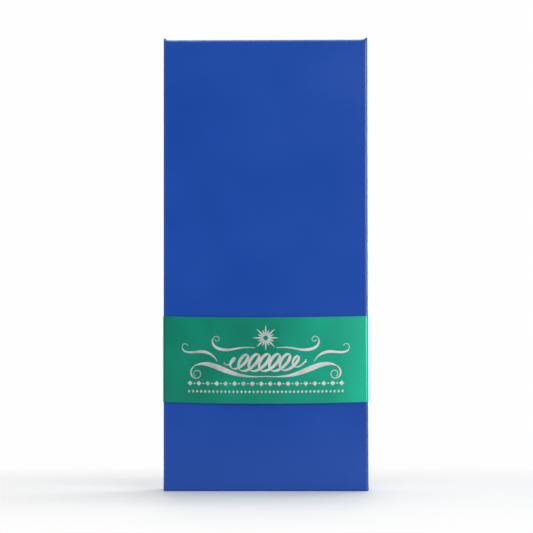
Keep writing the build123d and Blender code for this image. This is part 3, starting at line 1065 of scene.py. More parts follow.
def make_printed_row():
    tree, given, out = start_geometry("printed row", [
        ("Length", "Float", 0.09), ("Count", "Int", 20), ("Height", "Float", 0.06),
        ("Motif Width", "Float", 0.001), ("Motif Height", "Float", 0.001), ("Sides", "Int", 4),
        ("Foil", "Float", FOIL), ("Material", "Material", None),
    ])
    half = add_math(tree, "MULTIPLY", given["Length"], 0.5)
    start = join_xyz(tree, x=add_math(tree, "MULTIPLY", half, -1.0), z=given["Height"])
    end = join_xyz(tree, x=half, z=given["Height"])
    line = add_step(tree, "GeometryNodeMeshLine", {"mode": "END_POINTS", "count_mode": "TOTAL"},
                    Count=given["Count"], Start_Location=start, Offset=end)
    motif = add_step(tree, "GeometryNodeMeshCircle", {"fill_type": "NGON"},
                     Vertices=given["Sides"], Radius=0.5)
    size = join_xyz(tree, x=given["Motif Width"], y=given["Motif Height"], z=1.0)
    sized = add_step(tree, "GeometryNodeTransform", Geometry=motif, Scale=size)
    upright = add_step(tree, "GeometryNodeTransform", Geometry=sized, Rotation=(math.pi / 2, 0.0, 0.0))
    row = repeat_on(tree, line, upright)
    back = add_step(tree, "GeometryNodeFlipFaces", Mesh=row)
    front = add_step(tree, "GeometryNodeExtrudeMesh", {"mode": "FACES"}, Mesh=row,
                     Offset=(0.0, -1.0, 0.0), Offset_Scale=given["Foil"], Individual=False)
    whole = tree.nodes.new("GeometryNodeJoinGeometry")
    for side in (front, back):
        tree.links.new(side, whole.inputs[0])
    closed = add_step(tree, "GeometryNodeMergeByDistance", Geometry=whole.outputs[0], Distance=FOIL_MERGE)
    return end_tree(tree, out, closed, given["Material"])


printed_row = make_printed_row()
print("tree:", printed_row.name)

# %% Print the rows
LOZENGE = 3.1 * MM
DOT = 1.0 * MM
ORNAMENT_HEIGHT = 67.2 * MM
RULE_HEIGHT = 62.2 * MM
ROWS = {
    "silver_lozenges": dict(Length=93.8 * MM, Count=18, Height=ORNAMENT_HEIGHT, Motif_Width=LOZENGE,
                            Motif_Height=LOZENGE, Sides=4),
    "silver_dots": dict(Length=88.3 * MM, Count=17, Height=ORNAMENT_HEIGHT, Motif_Width=DOT,
                        Motif_Height=DOT, Sides=12),
    "silver_rule": dict(Length=95.0 * MM, Count=39, Height=RULE_HEIGHT, Motif_Width=1.5 * MM,
                        Motif_Height=1.9 * MM, Sides=4),
}


def lay_on_band(piece):
    """Moves flat foil onto the band's bellied front and lets it hang with the bowed paper."""
    for vertex in piece.data.vertices:
        vertex.co = band_place(vertex.co.x, vertex.co.z, FOIL_SEAT - vertex.co.y)


for name, values in ROWS.items():
    row = grow_piece(name, printed_row, Material=silver_foil, Foil=FOIL, **values)
    lay_on_band(row)
    finish_piece(row, "band", [])

# %% [markdown]
# ## Board, lining and glue
# Inside the wrap are four greyboards and a white lining sheet, and under the band's lap is a
# strip of glue. Boards and lining are plain things, so their CAD shapes stay, and each gets the
# finish that its sheet has. The glue is a new film, because spread glue has a wandering edge that
# stops short of the paper's own.

# %% Materials: boards, lining, stays and glue
greyboard = make_finish("greyboard pulp", rgb(0.36, 0.34, 0.31), shade=0.10, mottle=90.0, gloss=0.9,
                        bump=0.5, flecks=rgb(0.12, 0.11, 0.10))
lining = make_finish("white lining paper", rgb(0.78, 0.78, 0.76), shade=0.03, mottle=60.0, gloss=0.7,
                     bump=0.2)
kraft = make_finish("gummed kraft tape", rgb(0.42, 0.30, 0.18), shade=0.10, mottle=120.0, gloss=0.6,
                    bump=0.4, flecks=rgb(0.26, 0.17, 0.09))
glue_skin = make_finish("dried glue", rgb(0.72, 0.68, 0.55), shade=0.06, mottle=200.0, gloss=0.35,
                        bump=0.5)


def dress(material, *nodes):
    """Gives CAD nodes their finish."""
    for node in nodes:
        slots = frame["nodes"][node].data.materials
        slots.clear()
        slots.append(material)
    print(f"{material.name}: {', '.join(nodes)}")


dress(greyboard, "sleeve_front_board", "sleeve_back_board", "sleeve_left_board", "sleeve_right_board",
      "tray_floor_board", "tray_left_wall", "tray_right_wall", "tray_foot_wall", "tray_head_wall")
dress(lining, "sleeve_liner")
dress(kraft, "corner_stays")

# %% Spread the glue under the lap
GLUE_POINTS = 96
GLUE_MARGIN = 2.2 * MM
GLUE_WANDER = 0.05
GLUE_LOBES = 3
GLUE_SQUARE = 0.3


def spread_glue():
    """A thin film between the band's two ends: a square outline with an edge that wanders."""
    middle = (lap_low + lap_high) / 2
    half = (lap_high - lap_low) / 2
    edge = []
    for i in range(GLUE_POINTS):
        a = 2 * math.pi * i / GLUE_POINTS
        side, up = math.cos(a), math.sin(a)
        wander = 1 + GLUE_WANDER * noise.noise(Vector((GLUE_LOBES * side, GLUE_LOBES * up, 0.5)))
        x = math.copysign(abs(side) ** GLUE_SQUARE, side) * (half.x - GLUE_MARGIN) * wander
        z = math.copysign(abs(up) ** GLUE_SQUARE, up) * (half.z - GLUE_MARGIN) * wander
        edge.append((middle.x + x, middle.z + z))
    points = [(x, y, z) for y in (lap_low.y, lap_high.y) for x, z in edge]
    return mesh_piece("glue_film", points, tube_faces(2, GLUE_POINTS), glue_skin, smooth=False)


finish_piece(spread_glue(), "band", ["band_glue"])

# %% [markdown]
# ## Soft copies of the tray and the foam
# Wrapped board and foam have no knife edges. The CAD shapes are right but crisp, so a copy of
# each is merged into one skin, its flat triangles are dissolved and a small bevel rounds what is
# left. That keeps every size, and it is quicker and truer than modelling the tray again.

# %% Helper: soften a copy
CAD_MERGE = 0.002 * MM
FLAT_ANGLE = math.radians(1.0)
EDGE_ANGLE = math.radians(35)


def soften_copy(name, node, width, material):
    """A copy of a CAD node with rounded edges; the CAD object itself is left alone."""
    shape = bmesh.new()
    shape.from_mesh(frame["nodes"][node].data)
    bmesh.ops.remove_doubles(shape, verts=shape.verts, dist=CAD_MERGE)
    bmesh.ops.dissolve_limit(shape, angle_limit=FLAT_ANGLE, verts=shape.verts, edges=shape.edges)
    for edge in shape.edges:
        edge.smooth = len(edge.link_faces) == 2 and edge.calc_face_angle(0) < EDGE_ANGLE
    sharp = [e for e in shape.edges if not e.smooth]
    bmesh.ops.bevel(shape, geom=sharp, offset=width, segments=2, profile=0.5,
                    affect="EDGES", clamp_overlap=True)
    mesh = bpy.data.meshes.new(name)
    for face in shape.faces:
        face.smooth = True
    shape.to_mesh(mesh)
    shape.free()
    mesh.materials.clear()
    mesh.materials.append(material)
    mesh.set_sharp_from_angle(angle=EDGE_ANGLE)
    piece = add_object(name, mesh)
    normals = piece.modifiers.new("weighted_normals", "WEIGHTED_NORMAL")
    normals.keep_sharp = True
    return piece


print("softener ready, edges sharper than", round(math.degrees(EDGE_ANGLE)), "degrees are rounded")

# %% The tray's paper
TRAY_FOLD = 0.12 * MM
TRAY_RUB = 0.4 * MM
TRAY_WEAR = 0.5
TRAY_SIDE_WEAR = 0.6

tray_paper = soften_copy("tray_cover", "tray_wrap", TRAY_FOLD, blue_paper)


def rub_of_tray(point):
    """The tray's paper rubs at its rim, where it slides in the sleeve, and less at its sides."""
    rim = nearness(abs(point.y - tray_low.y), TRAY_RUB)
    side = nearness(min(point.x - tray_low.x, tray_high.x - point.x), TRAY_RUB)
    return max(rim, side * TRAY_SIDE_WEAR) * TRAY_WEAR


set_attribute(tray_paper, "rub_and_highlight", rub_of_tray)
finish_piece(tray_paper, "tray", ["tray_wrap"])
dress(lining, "tray_liner")

# %% [markdown]
# ## Flocked foam insert
# The pen and the bottle lie in a block of black foam with a sheet of flock on its face. Foam is
# full of small open cells, and flock is short upright fibre, so light catches it at the edges
# and it drinks light where you look straight in. A sheen on the shader gives that glow, and one
# cell texture at two scales gives the cells and the nap, with painted shade darkening the pits.

# %% Materials: foam and flock
PIT_LOW = 0.15
PIT_HIGH = 0.6


def make_cells(name, colour, pit_shade, cell_scale, bump, sheen):
    """Cells or fibres with painted shade, a darker colour, in the pits between them; the pits lie lower in
    the bump too.
    """
    material, tree, shader = start_material(name, Sheen_Weight=sheen, Sheen_Roughness=0.45,
                                            Specular_IOR_Level=0.15)
    cells = add_node(tree, "ShaderNodeTexVoronoi", Vector=object_place(tree), Scale=cell_scale)
    tooth = place_group(tree, paper_tooth, Colour=colour, Shade=0.25, Mottle_Scale=160.0,
                        Grain_Scale=4000.0, Gloss=0.9, Gloss_Spread=0.05)
    pit = add_range(tree, cells.outputs["Distance"], PIT_LOW, PIT_HIGH)
    height = add_math(tree, "SUBTRACT", tooth["Height"], pit)
    # Painted shade: the pits between cells take the darker colour.
    feed_all(tree, shader.inputs, Base_Color=add_mix(tree, pit, tooth["Colour"], pit_shade),
             Roughness=tooth["Roughness"], Normal=add_bump(tree, height, bump, 0.2 * MM))
    return material


open_foam = make_cells("open cell foam", rgb(0.035, 0.035, 0.04), rgb(0.006, 0.006, 0.008),
                       cell_scale=1500.0, bump=0.6, sheen=0.1)
flock_nap = make_cells("flock nap", rgb(0.024, 0.024, 0.034), rgb(0.012, 0.012, 0.02),
                       cell_scale=5200.0, bump=0.35, sheen=0.6)
print("materials:", open_foam.name, flock_nap.name)

# %% Foam and flock pieces
FOAM_ROUND = 0.35 * MM
FLOCK_ROUND = 0.18 * MM

foam = soften_copy("foam_block", "insert_foam", FOAM_ROUND, open_foam)
finish_piece(foam, "tray", ["insert_foam"])
flock = soften_copy("flock_sheet", "insert_cover", FLOCK_ROUND, flock_nap)
finish_piece(flock, "tray", ["insert_cover"])

# %% [markdown]
# ## The pen's metal parts
# The nib is bent sheet brass, the ferrule and the collar are turned brass, and the grip is turned
# metal under dark blue enamel. Turning leaves fine rings round the axis, polishing leaves hardly
# anything. The rings are a wave along the pen's own axis, which is the height of the box.

# %% Group: turned rings
def make_turned_rings():
    group, given, out = start_group(
        "turned rings",
        [
            ("Colour", "Color", rgb(0.7, 0.5, 0.25)),
            ("Ring Scale", "Float", 600.0),
            ("Tarnish", "Color", rgb(0.3, 0.18, 0.08)),
            ("Tarnish Amount", "Float", 0.3),
            ("Gloss", "Float", 0.25),
        ],
        [("Colour", "Color"), ("Roughness", "Float"), ("Height", "Float")],
    )
    rings = add_node(group, "ShaderNodeTexWave", {"wave_type": "BANDS", "bands_direction": "Z"},
                     Vector=object_place(group), Scale=given["Ring Scale"], Distortion=1.5)
    stain = add_range(group, add_noise(group, 260.0, detail=4.0), 0.45, 0.75)
    dull = add_math(group, "MULTIPLY", stain, given["Tarnish Amount"])
    spread = add_math(group, "MULTIPLY", dull, 0.5)
    feed_all(group, out, Colour=add_mix(group, dull, given["Colour"], given["Tarnish"]),
             Roughness=add_math(group, "ADD", given["Gloss"], spread), Height=rings.outputs["Fac"])
    return group


turned_rings = make_turned_rings()
print("group:", turned_rings.name, [s.name for s in turned_rings.interface.items_tree])

# %% Materials: brass and enamel
BRASS = dict(colour=rgb(0.78, 0.55, 0.24), tarnish=rgb(0.36, 0.22, 0.09), amount=0.25, Metallic=1.0)


def make_turned(name, colour, tarnish, amount, rings, gloss, bump, **plain):
    material, tree, shader = start_material(name, **plain)
    ringed = place_group(tree, turned_rings, Colour=colour, Ring_Scale=rings, Tarnish=tarnish,
                         Tarnish_Amount=amount, Gloss=gloss)
    feed_all(tree, shader.inputs, Base_Color=ringed["Colour"], Roughness=ringed["Roughness"],
             Normal=add_bump(tree, ringed["Height"], bump, 0.03 * MM))
    return material


nib_brass = make_turned("polished nib brass", rings=300.0, gloss=0.16, bump=0.02, **BRASS)
turned_brass = make_turned("turned brass", rings=1400.0, gloss=0.2, bump=0.1, **BRASS)
enamel = make_turned("dark blue enamel", rgb(0.010, 0.022, 0.085), rgb(0.02, 0.03, 0.07), amount=0.2,
                     rings=420.0, gloss=0.14, bump=0.04, Coat_Weight=0.6, Coat_Roughness=0.05)
dress(nib_brass, "nib")
dress(turned_brass, "nib_ferrule", "pen_collar")

# %% [markdown]
# The grip is turned from a profile: a smooth curve through four radii, the same as the CAD grip
# has, with five shallow grooves and eased ends. The grooves give the fingers hold, and they show
# the size of a spindle that would otherwise be plain.

# %% Turn the grip
grip_low, grip_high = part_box("pen_grip")
collar_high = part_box("pen_collar")[1]
pen_x = (grip_low.x + grip_high.x) / 2
pen_y = (grip_low.y + grip_high.y) / 2
GRIP_RADII = ((0.0, 4.4), (13.0, 5.4), (34.0, 3.7), (44.0, 4.6))
GRIP_END = 3.2
GRIP_STEPS = 110
GROOVES = (3.0, 4.4, 33.2, 34.8, 41.0)
GROOVE_DEPTH = 0.22
GROOVE_HALF = 0.32
EASE_LENGTH = 0.5
EASE_DEPTH = 0.4
EASE_START = 0.05
FIRST_SLOPE = 0.9
TURN_SIDES = 64


def smooth_through(stations, height):
    """A radius at a height on a smooth line through the stations (Catmull-Rom by height)."""
    for i in range(len(stations) - 1):
        (z0, r0), (z1, r1) = stations[i], stations[i + 1]
        if z0 <= height <= z1:
            before = stations[max(i - 1, 0)]
            after = stations[min(i + 2, len(stations) - 1)]
            m0 = (r1 - before[1]) / (z1 - before[0]) * (z1 - z0) if i else FIRST_SLOPE * (r1 - r0)
            m1 = (after[1] - r0) / (after[0] - z0) * (z1 - z0)
            t = (height - z0) / (z1 - z0)
            return ((2 * t ** 3 - 3 * t * t + 1) * r0 + (t ** 3 - 2 * t * t + t) * m0
                    + (3 * t * t - 2 * t ** 3) * r1 + (t ** 3 - t * t) * m1)
    return stations[-1][1]


def turn_profile(name, profile, x, y, material):
    """A closed shape turned about an upright axis from (radius, height) points in metres."""
    points = []
    for radius, z in profile:
        for s in range(TURN_SIDES):
            a = 2 * math.pi * s / TURN_SIDES
            points.append((x + radius * math.cos(a), y + radius * math.sin(a), z))
    return mesh_piece(name, points, tube_faces(len(profile), TURN_SIDES), material)


def turn_grip():
    """Radii are in millimetres up the grip: the smooth line less its grooves and its eased ends."""
    length = GRIP_RADII[-1][0]
    profile = [(GRIP_END * MM, grip_low.z)]
    for i in range(GRIP_STEPS + 1):
        z = length * i / GRIP_STEPS
        groove = sum(math.exp(-((z - g) / GROOVE_HALF) ** 2) for g in GROOVES)
        end = min(1.0, (z + EASE_START) / EASE_LENGTH, (length - z + EASE_START) / EASE_LENGTH)
        radius = smooth_through(GRIP_RADII, z) - GROOVE_DEPTH * groove - EASE_DEPTH * (1 - end) ** 2
        profile.append((radius * MM, grip_low.z + z * MM))
    profile.append((GRIP_END * MM, grip_high.z))
    return turn_profile("turned_grip", profile, pen_x, pen_y, enamel)


finish_piece(turn_grip(), "tray", ["pen_grip"])

# %% [markdown]
# ## The feather
# A feather is a shaft with hundreds of barbs that leave it at a slant and curve towards the tip.
# This one is a dressed eye feather: loose bronze-green barbs below, and a dense eye above. One
# Geometry Nodes tree sets a slim closed barb on every station of both sides and bends it by a
# formula. The tips follow the same outline as the CAD vane, so the feather fits its pocket.

# %% Material: quill shaft
quill_foot = collar_high.z
quill_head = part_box("feather_shaft")[1].z


def make_quill():
    """Horn-pale at its foot, and darker towards the eye of the feather."""
    material, tree, shader = start_material("quill shaft", Roughness=0.35, Subsurface_Weight=0.15)
    fade = add_range(tree, split_xyz(tree, object_place(tree))["Z"], quill_foot, quill_head)
    tooth = place_group(tree, paper_tooth, Colour=rgb(0.80, 0.74, 0.60), Shade=0.08,
                        Mottle_Scale=300.0, Grain_Scale=2500.0, Gloss=0.34, Gloss_Spread=0.05)
    feed_all(tree, shader.inputs, Base_Color=add_mix(tree, fade, tooth["Colour"], rgb(0.20, 0.15, 0.07)),
             Roughness=tooth["Roughness"], Normal=add_bump(tree, tooth["Height"], 0.15, 0.04 * MM))
    return material


dress(make_quill(), "feather_shaft")

# %% Material: barbs with an eye
vane_low, vane_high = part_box("feather_vane")
EYE_SHARE = 0.70
EYE_HEIGHT = vane_low.z + EYE_SHARE * (vane_high.z - vane_low.z)
EYE_SIDE = pen_x + 3.5 * MM
EYE_ACROSS = 15.0 * MM
EYE_ALONG = 19.0 * MM
EYE_RINGS = (
    (0.00, rgb(0.010, 0.012, 0.11)),
    (0.30, rgb(0.014, 0.020, 0.20)),
    (0.34, rgb(0.005, 0.20, 0.30)),
    (0.50, rgb(0.010, 0.26, 0.26)),
    (0.56, rgb(0.24, 0.10, 0.02)),
    (0.74, rgb(0.30, 0.15, 0.03)),
    (0.80, rgb(0.22, 0.27, 0.05)),
    (0.90, rgb(0.05, 0.19, 0.07)),
    (1.00, rgb(0.035, 0.12, 0.075)),
)


def make_barbs_material():
    """Rings of colour by how far a point lies from the eye's centre, on an oval scale."""
    material, tree, shader = start_material("feather barbs", Metallic=0.3, Sheen_Weight=0.3,
                                            Sheen_Tint=rgb(0.3, 0.9, 0.8))
    place = split_xyz(tree, object_place(tree))
    squares = []
    for label, centre, reach in (("X", EYE_SIDE, EYE_ACROSS), ("Z", EYE_HEIGHT, EYE_ALONG)):
        off = add_math(tree, "DIVIDE", add_math(tree, "SUBTRACT", place[label], centre), reach)
        squares.append(add_math(tree, "MULTIPLY", off, off))
    ring = add_node(tree, "ShaderNodeValToRGB", Fac=add_math(tree, "SQRT", add_math(tree, "ADD", *squares)))
    stops = ring.color_ramp.elements
    stops[0].position, stops[0].color = EYE_RINGS[0]
    stops[1].position, stops[1].color = EYE_RINGS[-1]
    for position, colour in EYE_RINGS[1:-1]:
        stops.new(position).color = colour
    tooth = place_group(tree, paper_tooth, Colour=ring.outputs["Color"], Shade=0.15,
                        Mottle_Scale=500.0, Grain_Scale=3000.0, Gloss=0.42, Gloss_Spread=0.12)
    feed_all(tree, shader.inputs, Base_Color=tooth["Colour"], Roughness=tooth["Roughness"])
    return material


barb_skin = make_barbs_material()
print("material:", barb_skin.name)

# %% Tree: barbs on a shaft
BARB_STEPS = 8
BARB_UNEVEN = 0.07
BARB_SLANT = 0.55
TIP_RISE = 5 * MM
CLIMB_POWER = 1.45
SPREAD_POWER = 0.92
BARB_TAPER = 0.45
BARB_CUP = 0.9 * MM
BARB_STRAY = 0.7 * MM


def make_barb_tree():
    """Rooted on the shaft at one station each, with the tips on a Bezier curve's heights."""
    tree, given, out = start_geometry("barbs on a shaft", [
        ("Count", "Int", 150), ("Side", "Float", 1.0), ("Reach", "Float", 0.02),
        ("Foot", "Float", 0.1), ("Foot Handle", "Float", 0.1), ("Tip Handle", "Float", 0.2),
        ("Tip", "Float", 0.3), ("Barb Width", "Float", 0.0009), ("Barb Thickness", "Float", 0.00012),
        ("Seed", "Int", 1), ("Material", "Material", None),
    ])

    def chain(operation, first, *others):
        for other in others:
            first = add_math(tree, operation, first, other)
        return first

    def times(*factors):
        return chain("MULTIPLY", *factors)

    def plus(*terms):
        return chain("ADD", *terms)

    def minus(*terms):
        return chain("SUBTRACT", *terms)

    def power(base, exponent):
        return chain("POWER", base, exponent)

    def stored(points, label, value):
        return add_step(tree, "GeometryNodeStoreNamedAttribute", Geometry=points, Name=label, Value=value)

    def named(label):
        return add_node(tree, "GeometryNodeInputNamedAttribute", Name=label).outputs["Attribute"]

    # The line of stations has no length, so each barb starts as a cube about the origin.
    line = add_step(tree, "GeometryNodeMeshLine", Count=given["Count"], Offset=(0.0, 0.0, 0.0))
    index = add_step(tree, "GeometryNodeInputIndex")
    share = chain("DIVIDE", index, minus(given["Count"], 1.0))
    chance = add_node(tree, "FunctionNodeRandomValue", Seed=given["Seed"]).outputs[1]
    stations = stored(stored(line, "station", share), "chance", chance)
    slim = add_step(tree, "GeometryNodeMeshCube", Size=(1.0, 1.0, 1.0), Vertices_X=BARB_STEPS + 1,
                    Vertices_Y=2, Vertices_Z=2)
    cubes = repeat_on(tree, stations, slim)
    t, luck = named("station"), named("chance")
    spot = split_xyz(tree, add_step(tree, "GeometryNodeInputPosition"))
    u = plus(spot["X"], 0.5)
    rest = minus(1.0, t)
    reach = times(t, rest, 4.0, given["Reach"])
    across = times(reach, plus(1.0 - BARB_UNEVEN, times(luck, BARB_UNEVEN)), given["Side"])
    weights = times(rest, rest, rest), times(rest, rest, t, 3.0), times(t, t, rest, 3.0), times(t, t, t)
    handles = "Foot", "Foot Handle", "Tip Handle", "Tip"
    tip_height = plus(0.0, *[times(weight, given[label]) for weight, label in zip(weights, handles)])
    rise = plus(times(reach, BARB_SLANT), times(t, TIP_RISE))
    root = chain("MAXIMUM", minus(tip_height, rise), given["Foot"])
    climb = times(minus(tip_height, root), power(u, CLIMB_POWER))
    slimmer = minus(1.0, times(u, u, BARB_TAPER))
    blade = times(spot["Y"], given["Barb Width"], slimmer)
    cup = times(u, u, -BARB_CUP)
    stray = times(minus(luck, 0.5), u, BARB_STRAY)
    thick = times(spot["Z"], given["Barb Thickness"])
    bend = join_xyz(tree, times(across, power(u, SPREAD_POWER)), plus(cup, stray, thick),
                    plus(root, climb, blade))
    bent = add_step(tree, "GeometryNodeSetPosition", Geometry=cubes, Position=bend)
    return end_tree(tree, out, bent, given["Material"])


barb_tree = make_barb_tree()
print("tree:", barb_tree.name)

# %% Grow both sides of the feather
FOOT_PULL = 18 * MM
TIP_PULL = 26 * MM
VANE_FOOT = collar_high.z + 12 * MM
BARBS = 165
BARB_WIDTH = 1.05 * MM
BARB_THICKNESS = 0.12 * MM
LEFT_SEED = 3
RIGHT_SEED = 8


def grow_barbs(side, reach, seed):
    return grow_piece(
        "barbs", barb_tree, Count=BARBS, Side=side, Reach=reach, Foot=VANE_FOOT,
        Foot_Handle=VANE_FOOT + FOOT_PULL, Tip_Handle=vane_high.z - TIP_PULL, Tip=vane_high.z,
        Barb_Width=BARB_WIDTH, Barb_Thickness=BARB_THICKNESS, Seed=seed, Material=barb_skin)


def join_barbs():
    """Both sides in one mesh, set on the shaft; every barb's faces point outwards."""
    shape = bmesh.new()
    for side, reach, seed in ((-1.0, pen_x - vane_low.x, LEFT_SEED), (1.0, vane_high.x - pen_x, RIGHT_SEED)):
        half = grow_barbs(side, reach, seed)
        shape.from_mesh(half.data)
        bpy.data.objects.remove(half)
    bmesh.ops.translate(shape, verts=shape.verts, vec=(pen_x, pen_y, 0))
    bmesh.ops.recalc_face_normals(shape, faces=shape.faces)
    mesh = bpy.data.meshes.new("feather_barbs")
    shape.to_mesh(mesh)
    shape.free()
    mesh.materials.append(barb_skin)
    return add_object("feather_barbs", mesh)


finish_piece(join_barbs(), "tray", ["feather_vane"])

# %% [markdown]
# ## The ink bottle
# A square bottle of clear glass with a thick foot holds blue-black ink. Glass stays in one
# shader with plain transmission, because the light does the rest. The neck has a screw thread:
# one ridge that climbs at the pitch by which the cap rises when it is turned.

# %% Materials: glass and ink
def make_glass():
    """Almost clear; the bump gives its surface a faint waviness."""
    material, tree, shader = start_material("bottle glass", Roughness=0.02, IOR=1.5, Transmission_Weight=1.0)
    tooth = place_group(tree, paper_tooth, Colour=rgb(0.93, 0.97, 0.97), Shade=0.01,
                        Mottle_Scale=120.0, Grain_Scale=900.0)
    feed_all(tree, shader.inputs, Base_Color=tooth["Colour"],
             Normal=add_bump(tree, tooth["Height"], 0.03, 0.1 * MM))
    return material


def make_ink():
    material, tree, shader = start_material("blue black ink", Roughness=0.04, IOR=1.33, Coat_Weight=0.5)
    tooth = place_group(tree, paper_tooth, Colour=rgb(0.006, 0.011, 0.07), Shade=0.2,
                        Mottle_Scale=120.0, Grain_Scale=900.0)
    feed_all(tree, shader.inputs, Base_Color=tooth["Colour"])
    return material


bottle_glass = make_glass()
dress(bottle_glass, "ink_bottle")
dress(make_ink(), "ink")

# %% Cut the neck's thread
bottle_low, bottle_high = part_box("ink_bottle")
cap_low, cap_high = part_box("bottle_cap")
bottle_x = (bottle_low.x + bottle_high.x) / 2
bottle_y = (bottle_low.y + bottle_high.y) / 2
NECK_RADIUS = 7.2 * MM
THREAD_SINK = 0.1 * MM
THREAD_RIDGE = 0.26 * MM
THREAD_WIDE = 1.3 * MM
THREAD_START = 1.6 * MM
CAP_TURNS = 2.5
cap_rise = next(j for j in frame["joints"] if j["name"] == "cap_rise")
THREAD_PITCH = cap_rise["range_m"][1] / CAP_TURNS
THREAD_TURNS = 1.9
THREAD_STEPS = 40
SECTION_STEPS = 5
THREAD_FADE = 8
LEAST_FADE = 0.1


def cut_thread():
    """A ridge of rounded section that winds up the neck and fades out at both ends."""
    count = round(THREAD_TURNS * THREAD_STEPS)
    angles = [math.pi * k / SECTION_STEPS for k in range(SECTION_STEPS + 1)]
    points = []
    for i in range(count + 1):
        share = i / count
        angle = 2 * math.pi * i / THREAD_STEPS
        fade = min(1.0, share * THREAD_FADE, (1 - share) * THREAD_FADE) ** 0.5
        centre = cap_low.z + THREAD_START + THREAD_PITCH * i / THREAD_STEPS
        for a in angles:
            radius = NECK_RADIUS - THREAD_SINK + (THREAD_RIDGE + THREAD_SINK) * math.sin(a) * fade
            z = centre + THREAD_WIDE / 2 * math.cos(a) * max(fade, LEAST_FADE)
            points.append((bottle_x + radius * math.cos(angle), bottle_y + radius * math.sin(angle), z))
    return mesh_piece("neck_thread", points, tube_faces(count + 1, len(angles)), bottle_glass)


finish_piece(cut_thread(), "tray", [])

# %% [markdown]
# ## Label, cap and seal
# The label is cream paper with a double printed frame and a lozenge, and no words. The cap is
# moulded black plastic with fine upright ribs for the fingers. The ribs are one small shape
# repeated round a circle, so a tree makes them from a count, a radius and a height.

# %% Material: framed label
label_low, label_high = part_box("bottle_label")
LABEL_INK = rgb(0.02, 0.035, 0.12)
# Each printed line: how far its middle is from the label's edge or centre, and how wide it is.
OUTER_FRAME = 1.0 * MM, 0.45 * MM
INNER_FRAME = 1.7 * MM, 0.16 * MM
LOZENGE_LINE = 3.4 * MM, 0.3 * MM
LOZENGE_HEART = 1.9 * MM


def make_label():
    material, tree, shader = start_material("framed label paper")
    tooth = place_group(tree, paper_tooth, Colour=rgb(0.78, 0.73, 0.60), Shade=0.05, Mottle_Scale=150.0,
                        Grain_Scale=3000.0, Gloss=0.65, Gloss_Spread=0.05)
    place = split_xyz(tree, object_place(tree))
    middle = (label_low + label_high) / 2
    half = (label_high - label_low) / 2

    def distance(value, centre):
        return add_math(tree, "ABSOLUTE", add_math(tree, "SUBTRACT", value, centre))

    def line_on(value, centre, width):
        return add_math(tree, "LESS_THAN", distance(value, centre), width / 2)

    off_x, off_z = distance(place["X"], middle.x), distance(place["Z"], middle.z)
    inset = add_math(tree, "MINIMUM", add_math(tree, "SUBTRACT", half.x, off_x),
                     add_math(tree, "SUBTRACT", half.z, off_z))
    lozenge = add_math(tree, "ADD", off_x, off_z)
    inked = add_math(tree, "LESS_THAN", lozenge, LOZENGE_HEART)
    for mark in (line_on(inset, *OUTER_FRAME), line_on(inset, *INNER_FRAME), line_on(lozenge, *LOZENGE_LINE)):
        inked = add_math(tree, "MAXIMUM", inked, mark)
    feed_all(tree, shader.inputs, Base_Color=add_mix(tree, inked, tooth["Colour"], LABEL_INK),
             Roughness=tooth["Roughness"], Normal=add_bump(tree, tooth["Height"], 0.2, 0.04 * MM))
    return material


dress(make_label(), "bottle_label")

# %% Materials: moulded cap and seal
moulded_plastic = make_finish("moulded black plastic", rgb(0.016, 0.016, 0.018), shade=0.1, mottle=200.0,
                              gloss=0.3, bump=0.12, grain=3500.0, depth=0.04 * MM, IOR=1.5)
seal_foam = make_finish("seal foam", rgb(0.74, 0.74, 0.71), shade=0.05, mottle=250.0, gloss=0.8, bump=0.4)
dress(moulded_plastic, "bottle_cap")
dress(seal_foam, "cap_seal")

# %% Tree: ribs round a cap
RIB_POINTS = 9
RIB_SIDES = 10
RIB_END = 0.15
RIB_SWELL = 12.0


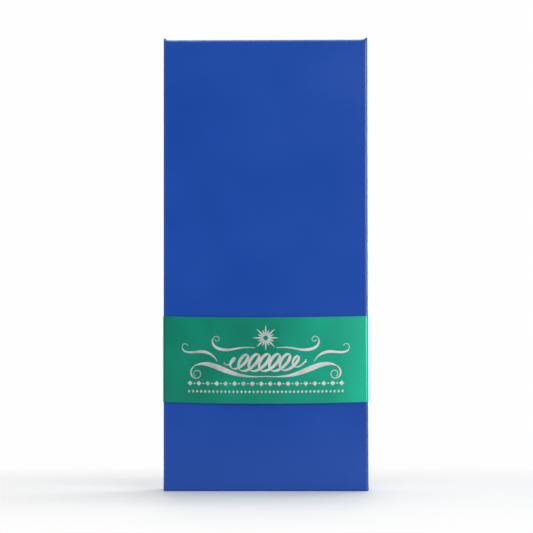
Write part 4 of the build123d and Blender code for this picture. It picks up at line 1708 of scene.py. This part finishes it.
def make_rib_tree():
    """Each rib is a swept circle that swells quickly from a thin end and runs full between."""
    tree, given, out = start_geometry("ribs round a cap", [
        ("Count", "Int", 48), ("Radius", "Float", 0.01), ("Height", "Float", 0.008),
        ("Rib Radius", "Float", 0.0004), ("Centre", "Vector", (0.0, 0.0, 0.0)),
        ("Material", "Material", None),
    ])
    ring = add_step(tree, "GeometryNodeMeshCircle", Vertices=given["Count"], Radius=given["Radius"])
    line = add_step(tree, "GeometryNodeCurvePrimitiveLine", End=join_xyz(tree, z=given["Height"]))
    fine = add_step(tree, "GeometryNodeResampleCurve", Curve=line, Count=RIB_POINTS)
    along = add_step(tree, "GeometryNodeSplineParameter")
    ends = add_math(tree, "MULTIPLY", along, add_math(tree, "SUBTRACT", 1.0, along))
    ends = add_math(tree, "MINIMUM", add_math(tree, "MULTIPLY", ends, RIB_SWELL), 1.0)
    swell = add_math(tree, "MAXIMUM", add_math(tree, "POWER", ends, 0.5), RIB_END)
    shaped = add_step(tree, "GeometryNodeSetCurveRadius", Curve=fine, Radius=swell)
    section = add_step(tree, "GeometryNodeCurvePrimitiveCircle", Resolution=RIB_SIDES,
                       Radius=given["Rib Radius"])
    rib = add_step(tree, "GeometryNodeCurveToMesh", Curve=shaped, Profile_Curve=section,
                   Scale=add_step(tree, "GeometryNodeInputRadius"), Fill_Caps=True)
    ribs = repeat_on(tree, ring, rib)
    moved = add_step(tree, "GeometryNodeTransform", Geometry=ribs, Translation=given["Centre"])
    smooth = add_step(tree, "GeometryNodeSetShadeSmooth", Geometry=moved)
    return end_tree(tree, out, smooth, given["Material"])


rib_tree = make_rib_tree()
print("tree:", rib_tree.name)

# %% Mould the cap's ribs
RIBS = 52
RIB_RADIUS = 0.36 * MM
RIB_HEIGHT = 8.6 * MM
RIB_FOOT = 1.0 * MM
RIB_SINK = 0.1 * MM

ribs = grow_piece("cap_ribs", rib_tree, Count=RIBS, Radius=(cap_high.x - cap_low.x) / 2 - RIB_SINK,
                  Height=RIB_HEIGHT, Rib_Radius=RIB_RADIUS,
                  Centre=(bottle_x, bottle_y, cap_low.z + RIB_FOOT), Material=moulded_plastic)
finish_piece(ribs, "cap", [])

# %% Finish
scene = bpy.context.scene
scene.view_settings.view_transform = "Standard"
print("cad box", [tuple(round(v, 4) for v in c) for c in cad_box])
